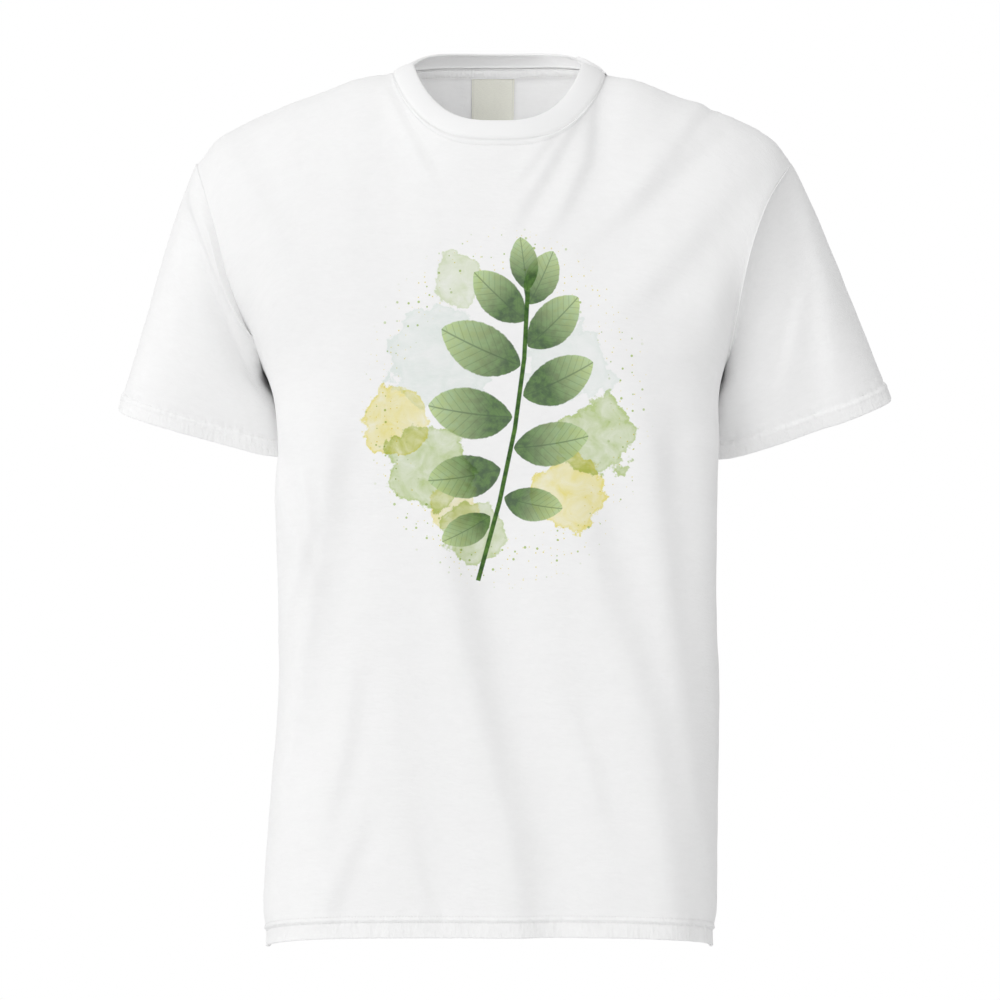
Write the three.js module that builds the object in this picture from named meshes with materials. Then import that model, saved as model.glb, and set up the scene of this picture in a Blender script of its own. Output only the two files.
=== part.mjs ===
// White crew-neck T-shirt in its worn shape, hollow as if on a body.
// Millimetres, +Z up, the front faces -Y. Left and right in names are as seen from the front:
// left is at -X, where the wearer's right arm goes.
// The origin is the base of the neck, midway between the two high shoulder points.
import * as THREE from "three";

const { lerp, clamp, smoothstep } = THREE.MathUtils;

// ---------------------------------------------------------------- driving dimensions

const CLOTH = 1.0; // jersey, one layer
const HEM_CLOTH = 2.0; // jersey turned up and sewn to itself
const BODY_HEM = 19; // height of the turned-up hem of the body
const SLEEVE_HEM = 18;
const SEAM_PLAY = 0.2; // each piece stops this far short of its seam line
const RIB_CLOTH = 2.2; // folded rib of the collar
const TAPE = { width: 9.5, thickness: 0.8, play: 0.7 };
const LABEL = { columns: 0.79, shift: -0.22, length: 48, thickness: 0.6, tuck: 0.4 };

const HEM_Z = -767; // body length below the high shoulder point
const UNDERARM_Z = -268;
const SIDE_SEAM_Y = 5;
const SHOULDER_SEAM_Y = 10;
const BODY_ROUNDNESS = 2.4; // 2 is an ellipse, more is boxier
const NECK_ROUNDNESS = 2.3;
const HEM_RISE = { front: 18, back: 6 }; // the hem is higher at its middle than at the sides

// Half widths of the body at the side seams, as [height, x], up from the hem.
const LEFT_SIDE = [
  [HEM_Z, -199.5], [-727, -201.5], [-640, -197], [-553, -189.5], [-440, -190],
  [-380, -189.5], [-339, -187.5], [-300, -192.5], [UNDERARM_Z, -201],
];
const RIGHT_SIDE = [
  [HEM_Z, 190], [-727, 193.5], [-560, 194.5], [-440, 192], [-380, 192.5],
  [-339, 193.5], [-300, 196], [UNDERARM_Z, 199],
];
// How far the middle of the front and of the back stand out, as [height, y].
const FRONT_MIDDLE = [[HEM_Z, -140], [-600, -136], [-420, -128], [UNDERARM_Z, -125]];
const BACK_MIDDLE = [[HEM_Z, 135], [-600, 124], [-450, 118], [-330, 124.5], [UNDERARM_Z, 126]];

// Top of the neck base and of the shoulder, as [distance from the middle, height].
const RIDGE = [
  [0, 60], [30, 52], [60, 22], [80, 2], [93, -6], [124, -12], [168, -29.5], [213, -47], [242, -64.5],
  [259, -85],
];

// The seam that joins the collar to the body, and the folded inner edge of the collar.
const NECK_SEAM = { x: 3.8, halfWidth: 92.6, side: { z: -6 }, front: { z: -70 }, back: { z: 5 } };
const NECK_EDGE = {
  x: 2.4, halfWidth: 73, side: { y: 8, z: 3 },
  front: { y: -87.5, z: -52.5 }, back: { y: 60, z: 16 },
};
const NECK_SHARE = 0.36; // share of a panel's half width that its neckline takes
const RIB_BULGE = 1.6; // the rib stands a little proud of a straight strip

// Armhole seams: x as [share of the height up from the underarm, x], and how deep they run.
const ARMHOLES = {
  left: {
    x: [[0, -201], [0.2, -214], [0.44, -230], [0.63, -239], [0.83, -250], [1, -260]],
    front: -58,
    back: 62,
  },
  right: {
    x: [[0, 199], [0.2, 205], [0.44, 213], [0.63, 222], [0.83, 237], [1, 258]],
    front: -42,
    back: 62,
  },
};
const SHOULDER_POINT_Z = -85;
// How near the armhole the cloth turns to reach it: a high power turns late and leaves a groove.
const SEAM_PULL = { front: { left: 5, right: 9 }, back: { left: 5, right: 5 } };

// Each sleeve's hem runs round the outer and inner ends of a rounded opening.
const SLEEVE_ENDS = {
  left: { outer: [-327, 0, -302], inner: [-191, 2, -339] },
  right: { outer: [343.5, 0, -292], inner: [203.5, 2, -341] },
};
const SLEEVE_DEPTH = 68; // half the opening, front to back
const SLEEVE_TILT = 6.7; // the front of the opening hangs lower, the back higher
const SLEEVE_PUFF = 6;
const SLEEVE_CLEARANCE = 0.8; // the underside of a sleeve hangs this far off the body

// Broad folds of the drape, where the cloth falls away towards +X across the line.
// Each is a line of [x, z], how far the cloth moves, and how wide the slope and the whole fold are.
const FRONT_FOLDS = [
  { line: [[-29, -423], [-12, -520], [10, -604], [25, -660], [34, -767]], depth: 7, slope: 13, reach: 46 },
  { line: [[140, -310], [147, -378], [158, -480], [168, -541], [182, -640]], depth: 6, slope: 11, reach: 34 },
  { line: [[89, -404], [110, -480], [140, -565], [153, -650], [167, -740]], depth: 6, slope: 14, reach: 40 },
  { line: [[-135, -361], [-148, -446], [-160, -530], [-172, -590]], depth: 5, slope: 12, reach: 36 },
  { line: [[216, -112], [180, -150], [140, -197]], depth: 5, slope: 14, reach: 34 },
];
const BACK_FOLDS = [
  { line: [[-70, -330], [-88, -500], [-100, -767]], depth: -7, slope: 16, reach: 50 },
  { line: [[45, -300], [60, -480], [80, -767]], depth: 7, slope: 16, reach: 50 },
  { line: [[-170, -150], [-120, -240], [-90, -320]], depth: 4, slope: 14, reach: 36 },
  { line: [[165, -150], [120, -230], [95, -310]], depth: -4, slope: 14, reach: 36 },
];

const FOLD_RUN_OUT = 45; // how far a fold fades out past the ends of its line
const YOKE_FLAT_Z = -60; // the drape's folds have died out at this height

// Mesh fineness.
const SHOULDER_COLUMNS = 7;
const NECK_COLUMNS = { front: 16, back: 12 };
const ARMHOLE_ROWS = 13;
const BODY_ROWS = 17;
const SLEEVE_ROWS = 7;

const COLOURS = { jersey: 0xf4f4f2, rib: 0xf2f2f0, tape: 0xf0f0ee, label: 0xc9ccb8 };

// ---------------------------------------------------------------- curves

// A smooth curve through rows of [position, value, ...], giving all the values at a position.
function curveThrough(rows) {
  const slope = (i, k) => {
    const before = rows[Math.max(i - 1, 0)];
    const after = rows[Math.min(i + 1, rows.length - 1)];
    return (after[k] - before[k]) / (after[0] - before[0]);
  };
  return (position) => {
    let i = 0;
    while (i < rows.length - 2 && position > rows[i + 1][0]) i += 1;
    const [low, high] = [rows[i], rows[i + 1]];
    const span = high[0] - low[0];
    const t = clamp((position - low[0]) / span, 0, 1);
    const rise = t * t * (3 - 2 * t);
    return low.slice(1).map((value, k) => {
      const leaving = slope(i, k + 1) * span * t * (1 - t) * (1 - t);
      const arriving = slope(i + 1, k + 1) * span * t * t * (1 - t);
      return lerp(value, high[k + 1], rise) + leaving - arriving;
    });
  };
}

const leftSide = curveThrough(LEFT_SIDE);
const rightSide = curveThrough(RIGHT_SIDE);
const middle = { front: curveThrough(FRONT_MIDDLE), back: curveThrough(BACK_MIDDLE) };
const ridge = curveThrough(RIDGE);
const armholeX = { left: curveThrough(ARMHOLES.left.x), right: curveThrough(ARMHOLES.right.x) };

// A point on a rounded quarter turn: how far across (0 to 1) and how far out (1 to 0).
function roundedTurn(angle, roundness) {
  const [across, out] = [Math.sin(angle), Math.cos(angle)];
  const size = (Math.abs(across) ** roundness + Math.abs(out) ** roundness) ** (1 / roundness);
  return [across / size, Math.abs(out) / size];
}

// Share of the armhole's height for a turn from 0 at the underarm to 1 at the shoulder point.
const armholeShare = (turn) => (1 - Math.cos(Math.PI * turn)) / 2;

function armholePoint(side, half, share) {
  const deep = Math.sqrt(Math.max(0, 1 - (2 * share - 1) ** 2));
  return new THREE.Vector3(
    armholeX[side](share)[0],
    lerp(lerp(SIDE_SEAM_Y, SHOULDER_SEAM_Y, share), ARMHOLES[side][half], deep),
    lerp(UNDERARM_Z, SHOULDER_POINT_Z, share),
  );
}

// A level ring of the body at the underarm or below it.
function ringPoint(half, u, z) {
  const [across, out] = roundedTurn((u * Math.PI) / 2, BODY_ROUNDNESS);
  const [left] = leftSide(z);
  const [right] = rightSide(z);
  return new THREE.Vector3(
    (left + right) / 2 + ((right - left) / 2) * across,
    lerp(SIDE_SEAM_Y, middle[half](z)[0], out),
    z,
  );
}

// How far forward or back the cloth lies above the underarm, rounding over to the shoulder's ridge.
function yokeDepth(half, x, z) {
  const up = clamp((z - UNDERARM_Z) / (ridge(Math.abs(x))[0] - UNDERARM_Z), 0, 1);
  const climb = clamp((z - UNDERARM_Z) / (SHOULDER_POINT_Z - UNDERARM_Z), 0, 1);
  const widening = 1 - (1 - climb) ** 2;
  const left = lerp(armholeX.left(0)[0], armholeX.left(1)[0], widening);
  const right = lerp(armholeX.right(0)[0], armholeX.right(1)[0], widening);
  const across = Math.min(1, Math.abs(x - (left + right) / 2) / ((right - left) / 2));
  const out = (1 - across ** BODY_ROUNDNESS) ** (1 / BODY_ROUNDNESS);
  const level = lerp(SIDE_SEAM_Y, middle[half](UNDERARM_Z)[0], out);
  return lerp(SHOULDER_SEAM_Y, level, Math.sqrt(1 - up * up));
}

// Where a neck loop is across and up; turn runs from -1 at one shoulder to 1 at the other.
function neckPlace(loop, half, turn) {
  const [across, out] = roundedTurn((turn * Math.PI) / 2, NECK_ROUNDNESS);
  const drop = Math.max(0, 1 - Math.abs(across) ** 3) ** 0.8;
  return { x: loop.x + loop.halfWidth * across, out, z: lerp(loop.side.z, loop[half].z, drop) };
}

function neckSeamPoint(half, turn) {
  const { x, z } = neckPlace(NECK_SEAM, half, turn);
  const y = Math.abs(turn) < 1 ? yokeDepth(half, x, z) : SHOULDER_SEAM_Y;
  return new THREE.Vector3(x, y, z);
}

function neckEdgePoint(half, turn) {
  const { x, out, z } = neckPlace(NECK_EDGE, half, turn);
  return new THREE.Vector3(x, lerp(NECK_EDGE.side.y, NECK_EDGE[half].y, out), z);
}

// How far the cloth moves out of the panel for one fold, at a place on the panel.
function foldHeight(fold, x, z) {
  let nearest = Infinity;
  let beside = 0;
  let beyond = 0;
  for (let i = 0; i + 1 < fold.line.length; i += 1) {
    const [[x0, z0], [x1, z1]] = [fold.line[i], fold.line[i + 1]];
    const length = Math.hypot(x1 - x0, z1 - z0);
    const along = ((x - x0) * (x1 - x0) + (z - z0) * (z1 - z0)) / length;
    const past = along - clamp(along, 0, length);
    const aside = ((x - x0) * (z0 - z1) + (z - z0) * (x1 - x0)) / length;
    const distance = Math.hypot(aside, past);
    if (distance < nearest) [nearest, beside, beyond] = [distance, aside, past];
  }
  const fade = Math.exp(-((beside / fold.reach) ** 2) - (beyond / FOLD_RUN_OUT) ** 2);
  return -fold.depth * Math.tanh(beside / fold.slope) * fade;
}

// ---------------------------------------------------------------- body panels

// Columns across a panel, from -1 at one side seam to 1 at the other, closer near the armholes.
function panelColumns(half) {
  const columns = [];
  for (let i = 0; i < SHOULDER_COLUMNS; i += 1) {
    columns.push(1 - (1 - NECK_SHARE) * (i / SHOULDER_COLUMNS) ** 1.25);
  }
  const count = NECK_COLUMNS[half];
  for (let i = 0; i <= count; i += 1) columns.push(NECK_SHARE * (1 - (2 * i) / count));
  const right = columns.slice(0, SHOULDER_COLUMNS).reverse();
  return [...columns, ...right.map((u) => -u)].reverse();
}

// The top edge of a panel: one shoulder, the neckline, the other shoulder.
function topEdge(half, u) {
  if (Math.abs(u) <= NECK_SHARE + 1e-9) return neckSeamPoint(half, clamp(u / NECK_SHARE, -1, 1));
  const inner = neckSeamPoint(half, Math.sign(u)).x;
  const [outer] = armholeX[u < 0 ? "left" : "right"](1);
  const x = lerp(inner, outer, (Math.abs(u) - NECK_SHARE) / (1 - NECK_SHARE));
  return new THREE.Vector3(x, SHOULDER_SEAM_Y, ridge(Math.abs(x))[0]);
}

// Above the underarm the panel rises to its top edge, and its sides follow the armholes.
function yokePoint(half, u, share) {
  const base = ringPoint(half, u, UNDERARM_Z);
  const top = topEdge(half, u);
  const side = u < 0 ? "left" : "right";
  const seam = armholePoint(side, half, share);
  const straight = lerp(armholeX[side](0)[0], armholeX[side](1)[0], share);
  const x = lerp(base.x, top.x, share) + (seam.x - straight) * Math.abs(u) ** 3;
  const z = lerp(base.z, top.z, share);
  if (share === 1) return new THREE.Vector3(x, top.y, z);
  const pull = seam.y - yokeDepth(half, seam.x, seam.z);
  return new THREE.Vector3(x, yokeDepth(half, x, z) + pull * Math.abs(u) ** SEAM_PULL[half][side], z);
}

// Rows of a panel from the hem up; band tells the turned-up hem from the single cloth.
function panelRows(half) {
  const rows = [0, BODY_HEM - 0.5, BODY_HEM + 0.5].map((height) => ({ height }));
  const first = BODY_HEM + 0.5;
  const full = UNDERARM_Z - HEM_Z;
  for (let i = 1; i <= BODY_ROWS; i += 1) rows.push({ height: lerp(first, full, i / BODY_ROWS) });
  const body = rows.map(({ height }) => ({
    hem: height < BODY_HEM,
    point: (u) => {
      const [, out] = roundedTurn((u * Math.PI) / 2, BODY_ROUNDNESS);
      const rise = HEM_RISE[half] * out ** 1.6 * (1 - height / full) ** 2;
      return ringPoint(half, u, HEM_Z + height + rise);
    },
  }));
  const yoke = [];
  for (let i = 1; i <= ARMHOLE_ROWS; i += 1) {
    const share = armholeShare(i / ARMHOLE_ROWS);
    yoke.push({ hem: false, yoke: true, point: (u) => yokePoint(half, u, share) });
  }
  return [...body, ...yoke];
}

function panelGrid(half) {
  const outwards = half === "front" ? -1 : 1;
  const folds = half === "front" ? FRONT_FOLDS : BACK_FOLDS;
  const columns = panelColumns(half);
  const rows = panelRows(half);
  const points = rows.map((row, j) =>
    columns.map((u) => {
      const point = row.point(u);
      const moved = folds.reduce((sum, fold) => sum + foldHeight(fold, point.x, point.z), 0);
      const seams = (1 - Math.abs(u) ** 6) * (1 - smoothstep(point.z, YOKE_FLAT_Z - 60, YOKE_FLAT_Z));
      point.y += outwards * moved * seams;
      return point;
    }),
  );
  const last = columns.length - 1;
  const towards = (i, j, point) => {
    if (j === rows.length - 1 && Math.abs(columns[i]) <= NECK_SHARE + 1e-9) return neckInwards(point);
    if (i === 0 || i === last) {
      const underarmRow = rows.findIndex((row) => row.yoke) - 1;
      return j < underarmRow ? new THREE.Vector3(-Math.sign(point.x), 0, 0) : armholeInwards(point);
    }
    return j === rows.length - 1 ? new THREE.Vector3(0, 0, -1) : null;
  };
  return { points, towards, thickness: (j) => (rows[j].hem ? HEM_CLOTH : CLOTH), flip: half === "back" };
}

// Cloth that meets at a seam has its thickness in one shared direction there.
const NECK_CORE = new THREE.Vector3(NECK_SEAM.x, -10, -110);
const neckInwards = (point) => NECK_CORE.clone().sub(point).normalize();

function armholeInwards(point) {
  const middleZ = (UNDERARM_Z + SHOULDER_POINT_Z) / 2;
  return new THREE.Vector3(0, SIDE_SEAM_Y - point.y, middleZ - point.z).normalize();
}

// ---------------------------------------------------------------- sleeves

// How far out the body's side is at a place, so that a sleeve can hang beside it.
function bodySide(side, y, z) {
  const level = Math.min(z, UNDERARM_Z);
  const [left] = leftSide(level);
  const [right] = rightSide(level);
  const [reach] = middle[y < SIDE_SEAM_Y ? "front" : "back"](level);
  const out = Math.min(1, Math.abs((y - SIDE_SEAM_Y) / (reach - SIDE_SEAM_Y)));
  const width = ((right - left) / 2) * (1 - out ** BODY_ROUNDNESS) ** (1 / BODY_ROUNDNESS);
  return (left + right) / 2 + (side === "left" ? -width : width);
}

function sleeveGrid(side) {
  const outwards = side === "left" ? -1 : 1;
  const outer = new THREE.Vector3(...SLEEVE_ENDS[side].outer);
  const inner = new THREE.Vector3(...SLEEVE_ENDS[side].inner);
  const centre = outer.clone().add(inner).multiplyScalar(0.5);
  const reach = outer.clone().sub(inner).multiplyScalar(0.5);
  const length = outer.distanceTo(armholePoint(side, "front", 1));
  const band = SLEEVE_HEM / length;
  const shares = [];
  for (let j = 0; j < SLEEVE_ROWS; j += 1) shares.push((j / SLEEVE_ROWS) * (1 - band));
  shares.push(1 - band - 0.5 / length, 1 - band + 0.5 / length, 1);
  const around = 2 * ARMHOLE_ROWS;
  const points = shares.map((share) => {
    const ring = [];
    for (let i = 0; i < around; i += 1) {
      const half = i <= ARMHOLE_ROWS ? "front" : "back";
      const turn = half === "front" ? 1 - i / ARMHOLE_ROWS : i / ARMHOLE_ROWS - 1;
      const start = armholePoint(side, half, armholeShare(turn));
      const angle = (Math.PI * i) / ARMHOLE_ROWS;
      const end = centre.clone().addScaledVector(reach, Math.cos(angle));
      end.y -= SLEEVE_DEPTH * Math.sin(angle);
      end.z -= SLEEVE_TILT * Math.sin(angle);
      const point = start.clone().lerp(end, share);
      const puff = SLEEVE_PUFF * Math.sin(Math.PI * share ** 0.7);
      point.x += outwards * puff * Math.max(0, Math.cos(angle));
      point.y -= 1.6 * puff * Math.sin(angle);
      const under = Math.max(0, -Math.cos(angle));
      const clear = bodySide(side, point.y, point.z) * outwards + SLEEVE_CLEARANCE;
      point.x += outwards * SLEEVE_CLEARANCE * under;
      if (share > 0) point.x = outwards * Math.max(outwards * point.x, clear);
      ring.push(point);
    }
    return ring;
  });
  const isHem = (j) => j >= shares.length - 2;
  return {
    points,
    closed: true,
    towards: (i, j, point) => (j === 0 ? armholeInwards(point) : null),
    thickness: (j) => (isHem(j) ? HEM_CLOTH : CLOTH),
    flip: side === "right",
  };
}

// ---------------------------------------------------------------- collar, tape and label

// The rib ring: a strip from the neck seam up and in to its folded edge, rounded over at the fold.
function collarGrid() {
  const ring = [];
  for (const half of ["front", "back"]) {
    const count = NECK_COLUMNS[half];
    for (let i = 0; i < count; i += 1) {
      const turn = half === "front" ? -1 + (2 * i) / count : 1 - (2 * i) / count;
      ring.push([neckSeamPoint(half, turn), neckEdgePoint(half, turn)]);
    }
  }
  const steps = [0, 0.25, 0.5, 0.75, 0.93, 1];
  const points = steps.map((step) =>
    ring.map(([seam, edge]) => {
      const point = seam.clone().lerp(edge, step);
      const out = neckInwards(seam.clone().lerp(edge, 0.5)).negate();
      const roll = RIB_BULGE * 4 * step * (1 - step) - (step === 1 ? RIB_CLOTH * 0.35 : 0);
      return point.addScaledVector(out, roll);
    }),
  );
  return {
    points,
    closed: true,
    towards: (i, j, point) => neckInwards(point),
    thickness: (j) => (j === steps.length - 1 ? RIB_CLOTH * 0.4 : RIB_CLOTH),
    freeEdge: true,
  };
}

// A strip of cloth that lies on the inside of the back panel, from one distance below the neck seam
// to another, between two places across the neck given in columns of the panel.
function liningGrid(panel, columns, drops, thickness) {
  const outside = easedSheet(panel);
  const inside = insideOf(panel, outside);
  const points = drops.map((drop) =>
    columns.map((column) => {
      const whole = Math.min(Math.floor(column), inside[0].length - 2);
      const [left, right] = [whole, whole + 1].map((i) => downCloth(inside, i, drop));
      const [before, after] = [whole, whole + 1].map((i) => downCloth(outside, i, drop));
      const part = column - whole;
      const point = left.clone().lerp(right, part);
      const inwards = point.clone().sub(before.clone().lerp(after, part)).normalize();
      return point.addScaledVector(inwards, TAPE.play);
    }),
  );
  return { points, thickness: () => thickness, flip: true, loose: true };
}

// The place a given way down one column of a sheet, measured along the cloth from its top row.
function downCloth(sheet, column, drop) {
  let left = drop;
  for (let j = sheet.length - 1; j > 0; j -= 1) {
    const [from, to] = [sheet[j][column], sheet[j - 1][column]];
    const step = from.distanceTo(to);
    if (left <= step) return from.clone().lerp(to, left / step);
    left -= step;
  }
  return sheet[0][column].clone();
}

// Evenly spaced numbers from one end to the other.
const evenly = (from, to, steps) => Array.from({ length: steps + 1 }, (_, i) => lerp(from, to, i / steps));

const LINING_TOP = 1.2; // the tape starts this far below the neck seam

function tapeGrid(panel) {
  const first = SHOULDER_COLUMNS;
  const columns = evenly(first, first + NECK_COLUMNS.back, NECK_COLUMNS.back);
  columns[0] += 0.25;
  columns[columns.length - 1] -= 0.25;
  return liningGrid(panel, columns, evenly(LINING_TOP + TAPE.width, LINING_TOP, 4), TAPE.thickness);
}

function labelGrid(panel) {
  const middleColumn = SHOULDER_COLUMNS + NECK_COLUMNS.back / 2 + LABEL.shift;
  const top = LINING_TOP + TAPE.width + LABEL.tuck;
  const columns = evenly(middleColumn - LABEL.columns, middleColumn + LABEL.columns, 6);
  return liningGrid(panel, columns, evenly(top + LABEL.length, top, 6), LABEL.thickness);
}

// ---------------------------------------------------------------- solids

// Draws the outermost rows and columns a little way in, so neighbours at a seam don't touch.
function easedSheet({ points, closed, freeEdge, loose }) {
  const sheet = points.map((row) => row.map((point) => point.clone()));
  if (loose) return sheet;
  const last = sheet.length - 1;
  const ease = (point, next) => point.addScaledVector(next.clone().sub(point).normalize(), SEAM_PLAY);
  sheet[0].forEach((point, i) => ease(point, sheet[1][i]));
  if (!freeEdge) sheet[last].forEach((point, i) => ease(point, sheet[last - 1][i]));
  if (closed) return sheet;
  for (const row of sheet) {
    ease(row[0], row[1]);
    ease(row[row.length - 1], row[row.length - 2]);
  }
  return sheet;
}

// The other face of a sheet, its thickness away.
function insideOf(grid, outside) {
  return outside.map((row, j) =>
    row.map((point, i) => {
      const own = sheetNormal(outside, i, j, grid.closed).multiplyScalar(grid.flip ? 1 : -1);
      const towards = (grid.towards && grid.towards(i, j, grid.points[j][i])) || own;
      return point.clone().addScaledVector(towards, grid.thickness(j));
    }),
  );
}

// Gives a sheet of points its thickness and closes it into one solid.
function solidFrom(grid) {
  const { closed = false } = grid;
  const outside = easedSheet(grid);
  const inside = insideOf(grid, outside);
  const rows = outside.length;
  const columns = outside[0].length;
  const positions = [...outside.flat(), ...inside.flat()].flatMap((point) => point.toArray());
  const at = (layer, i, j) => layer * rows * columns + j * columns + (i % columns);
  const faces = [];
  const quad = (a, b, c, d) => faces.push(...(grid.flip ? [a, c, b, a, d, c] : [a, b, c, a, c, d]));
  const across = closed ? columns : columns - 1;
  for (let j = 0; j + 1 < rows; j += 1) {
    for (let i = 0; i < across; i += 1) {
      quad(at(0, i, j), at(0, i + 1, j), at(0, i + 1, j + 1), at(0, i, j + 1));
      quad(at(1, i, j), at(1, i, j + 1), at(1, i + 1, j + 1), at(1, i + 1, j));
    }
    if (!closed) {
      quad(at(0, 0, j), at(0, 0, j + 1), at(1, 0, j + 1), at(1, 0, j));
      quad(at(0, across, j), at(1, across, j), at(1, across, j + 1), at(0, across, j + 1));
    }
  }
  for (let i = 0; i < across; i += 1) {
    quad(at(0, i, 0), at(1, i, 0), at(1, i + 1, 0), at(0, i + 1, 0));
    quad(at(0, i, rows - 1), at(0, i + 1, rows - 1), at(1, i + 1, rows - 1), at(1, i, rows - 1));
  }
  const geometry = new THREE.BufferGeometry();
  geometry.setAttribute("position", new THREE.Float32BufferAttribute(positions, 3));
  geometry.setIndex(faces);
  geometry.computeVertexNormals();
  return geometry;
}

// The direction square to a sheet at one of its points.
function sheetNormal(points, i, j, closed) {
  const columns = points[0].length;
  const wrap = (k) => (closed ? (k + columns) % columns : clamp(k, 0, columns - 1));
  const across = points[j][wrap(i + 1)].clone().sub(points[j][wrap(i - 1)]);
  const up = points[Math.min(j + 1, points.length - 1)][i].clone().sub(points[Math.max(j - 1, 0)][i]);
  return across.cross(up).normalize();
}

// ---------------------------------------------------------------- the garment

function piece(name, grid, colour) {
  const material = new THREE.MeshStandardMaterial({ color: colour, roughness: 0.95, metalness: 0 });
  const mesh = new THREE.Mesh(solidFrom(grid), material);
  mesh.name = name;
  return mesh;
}

const backPanel = panelGrid("back");
const shirt = new THREE.Group();
shirt.add(
  piece("front_panel", panelGrid("front"), COLOURS.jersey),
  piece("back_panel", backPanel, COLOURS.jersey),
  piece("right_sleeve", sleeveGrid("right"), COLOURS.jersey),
  piece("left_sleeve", sleeveGrid("left"), COLOURS.jersey),
  piece("rib_collar", collarGrid(), COLOURS.rib),
  piece("neck_tape", tapeGrid(backPanel), COLOURS.tape),
  piece("neck_label", labelGrid(backPanel), COLOURS.label),
);

export default shirt;
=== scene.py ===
"""White crew-neck T-shirt: the cloth, rib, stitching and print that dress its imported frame.

The file is laid out as a Blender add-on and is run as a script. Shapes are worked out in
millimetres, with +Z up and the front towards -Y, and are turned into metres as meshes are made.
"""
import math

import bpy
import numpy as np
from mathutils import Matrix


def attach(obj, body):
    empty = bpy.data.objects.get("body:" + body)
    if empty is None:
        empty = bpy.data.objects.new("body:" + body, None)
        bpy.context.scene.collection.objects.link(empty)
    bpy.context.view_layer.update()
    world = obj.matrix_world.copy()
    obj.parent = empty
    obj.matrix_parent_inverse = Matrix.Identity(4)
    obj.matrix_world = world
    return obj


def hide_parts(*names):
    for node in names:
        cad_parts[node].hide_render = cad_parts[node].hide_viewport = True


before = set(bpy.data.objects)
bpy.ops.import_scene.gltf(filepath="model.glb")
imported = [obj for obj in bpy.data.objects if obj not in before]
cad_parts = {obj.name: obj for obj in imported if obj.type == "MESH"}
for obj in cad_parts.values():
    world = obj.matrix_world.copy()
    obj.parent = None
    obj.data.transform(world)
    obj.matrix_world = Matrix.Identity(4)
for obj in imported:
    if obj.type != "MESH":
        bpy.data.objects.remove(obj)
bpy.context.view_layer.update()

bl_info = {
    "name": "Crew-neck T-shirt",
    "version": (1, 0, 0),
    "blender": (4, 5, 0),
    "location": "3D View > Sidebar > T-shirt",
    "description": "Makes the cloth, rib, stitching and print of a T-shirt over its packed frame",
    "category": "Object",
}

MM = 0.001
TINY = 1e-9

# ---------------------------------------------------------------- pattern sizes, millimetres

BODY_HEM = 19
SLEEVE_HEM = 18
HEM_CLOTH = 2.0
HEM_Z = -767
UNDERARM_Z = -268
SHOULDER_POINT_Z = -85
SIDE_SEAM_Y = 5
SHOULDER_SEAM_Y = 10
BODY_ROUNDNESS = {"front": 4.6, "back": 3.0}
SIDE_HOLLOW = 0.1
HOLLOW_DROP = 30
HOLLOW_END = (-380, -540)
HOLLOW_BALANCE = 0.454
NECK_ROUNDNESS = 2.3
HEM_RISE = {"front": 18, "back": 6}
LEFT_SIDE = [
    (HEM_Z, -197.5), (-748, -197), (-735, -199.5), (-715, -200), (-640, -195), (-553, -188),
    (-440, -188), (-380, -187.5), (-339, -185.5), (-300, -191), (UNDERARM_Z, -201),
]
RIGHT_SIDE = [
    (HEM_Z, 188.5), (-748, 188.5), (-735, 191.5), (-715, 192.5), (-560, 194.5), (-440, 191.5),
    (-380, 190.5), (-339, 191.5), (-300, 194.5), (UNDERARM_Z, 199),
]
MIDDLE = {
    "front": [(HEM_Z, -138), (-600, -132), (-420, -121), (UNDERARM_Z, -115)],
    "back": [(HEM_Z, 132), (-600, 121), (-450, 115), (-330, 120), (UNDERARM_Z, 121)],
}
RIDGE = [
    (0, 60), (30, 52), (60, 22), (80, 2), (93, -6), (124, -12), (168, -29.5), (213, -47),
    (242, -64.5), (259, -85),
]
NECK_SEAM = {"x": 3.8, "half_width": 92.6, "side": -6, "front": -70, "back": 5}
NECK_EDGE = {"x": 2.4, "half_width": 73, "side": 3, "front": -52.5, "back": 16, "flat_back": 6}
NECK_EDGE_Y = {"side": 8, "front": -80, "back": 58}
NECK_CORE = np.array([NECK_SEAM["x"], -10, -110])
NECK_SHARE = 0.36
RIB_CLOTH = 2.2
RIB_BULGE = 1.6
ARMHOLES = {
    "left": {
        "x": [(0, -201), (0.2, -214), (0.44, -230), (0.63, -239), (0.83, -250), (1, -260)],
        "front": -72, "back": 66,
    },
    "right": {
        "x": [(0, 199), (0.2, 205), (0.44, 213), (0.63, 222), (0.83, 237), (1, 258)],
        "front": -88, "back": 66,
    },
}
ARMHOLE_FLATNESS = 0.06
SEAM_PULL = {"front": {"left": 5, "right": 6}, "back": {"left": 5, "right": 5}}
SLEEVE_ENDS = {
    "left": ((-326, 0, -299), (-183, 2, -338)),
    "right": ((343, 4, -290), (194, 8, -341)),
}
SLEEVE_DEPTH = {"left": 52, "right": 50}
SLEEVE_ROUNDNESS = {"left": (3, 5), "right": (3.5, 3)}
SLEEVE_SINK = {"left": 12, "right": 32}
SINK_REACH = {"left": 24, "right": 11}
SLEEVE_TAPER = 0.27
SLEEVE_TILT = 6.7
SLEEVE_PUFF = {"left": 3, "right": 2.5}
SLEEVE_CLEARANCE = 0.8
UNDERARM_REACH = 30
HUG_REACH = 25
ARM_RADIUS = 60
CALM_REACH = 20
TAPE_TOP = 1.2
TAPE_WIDTH = 9.5
LABEL_LENGTH = 48
LABEL_BORDER = 17.2
STITCHES_LOW = (5.6, 0.4)
NECK_STITCH = 5.2

# ---------------------------------------------------------------- folds of the drape

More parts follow.
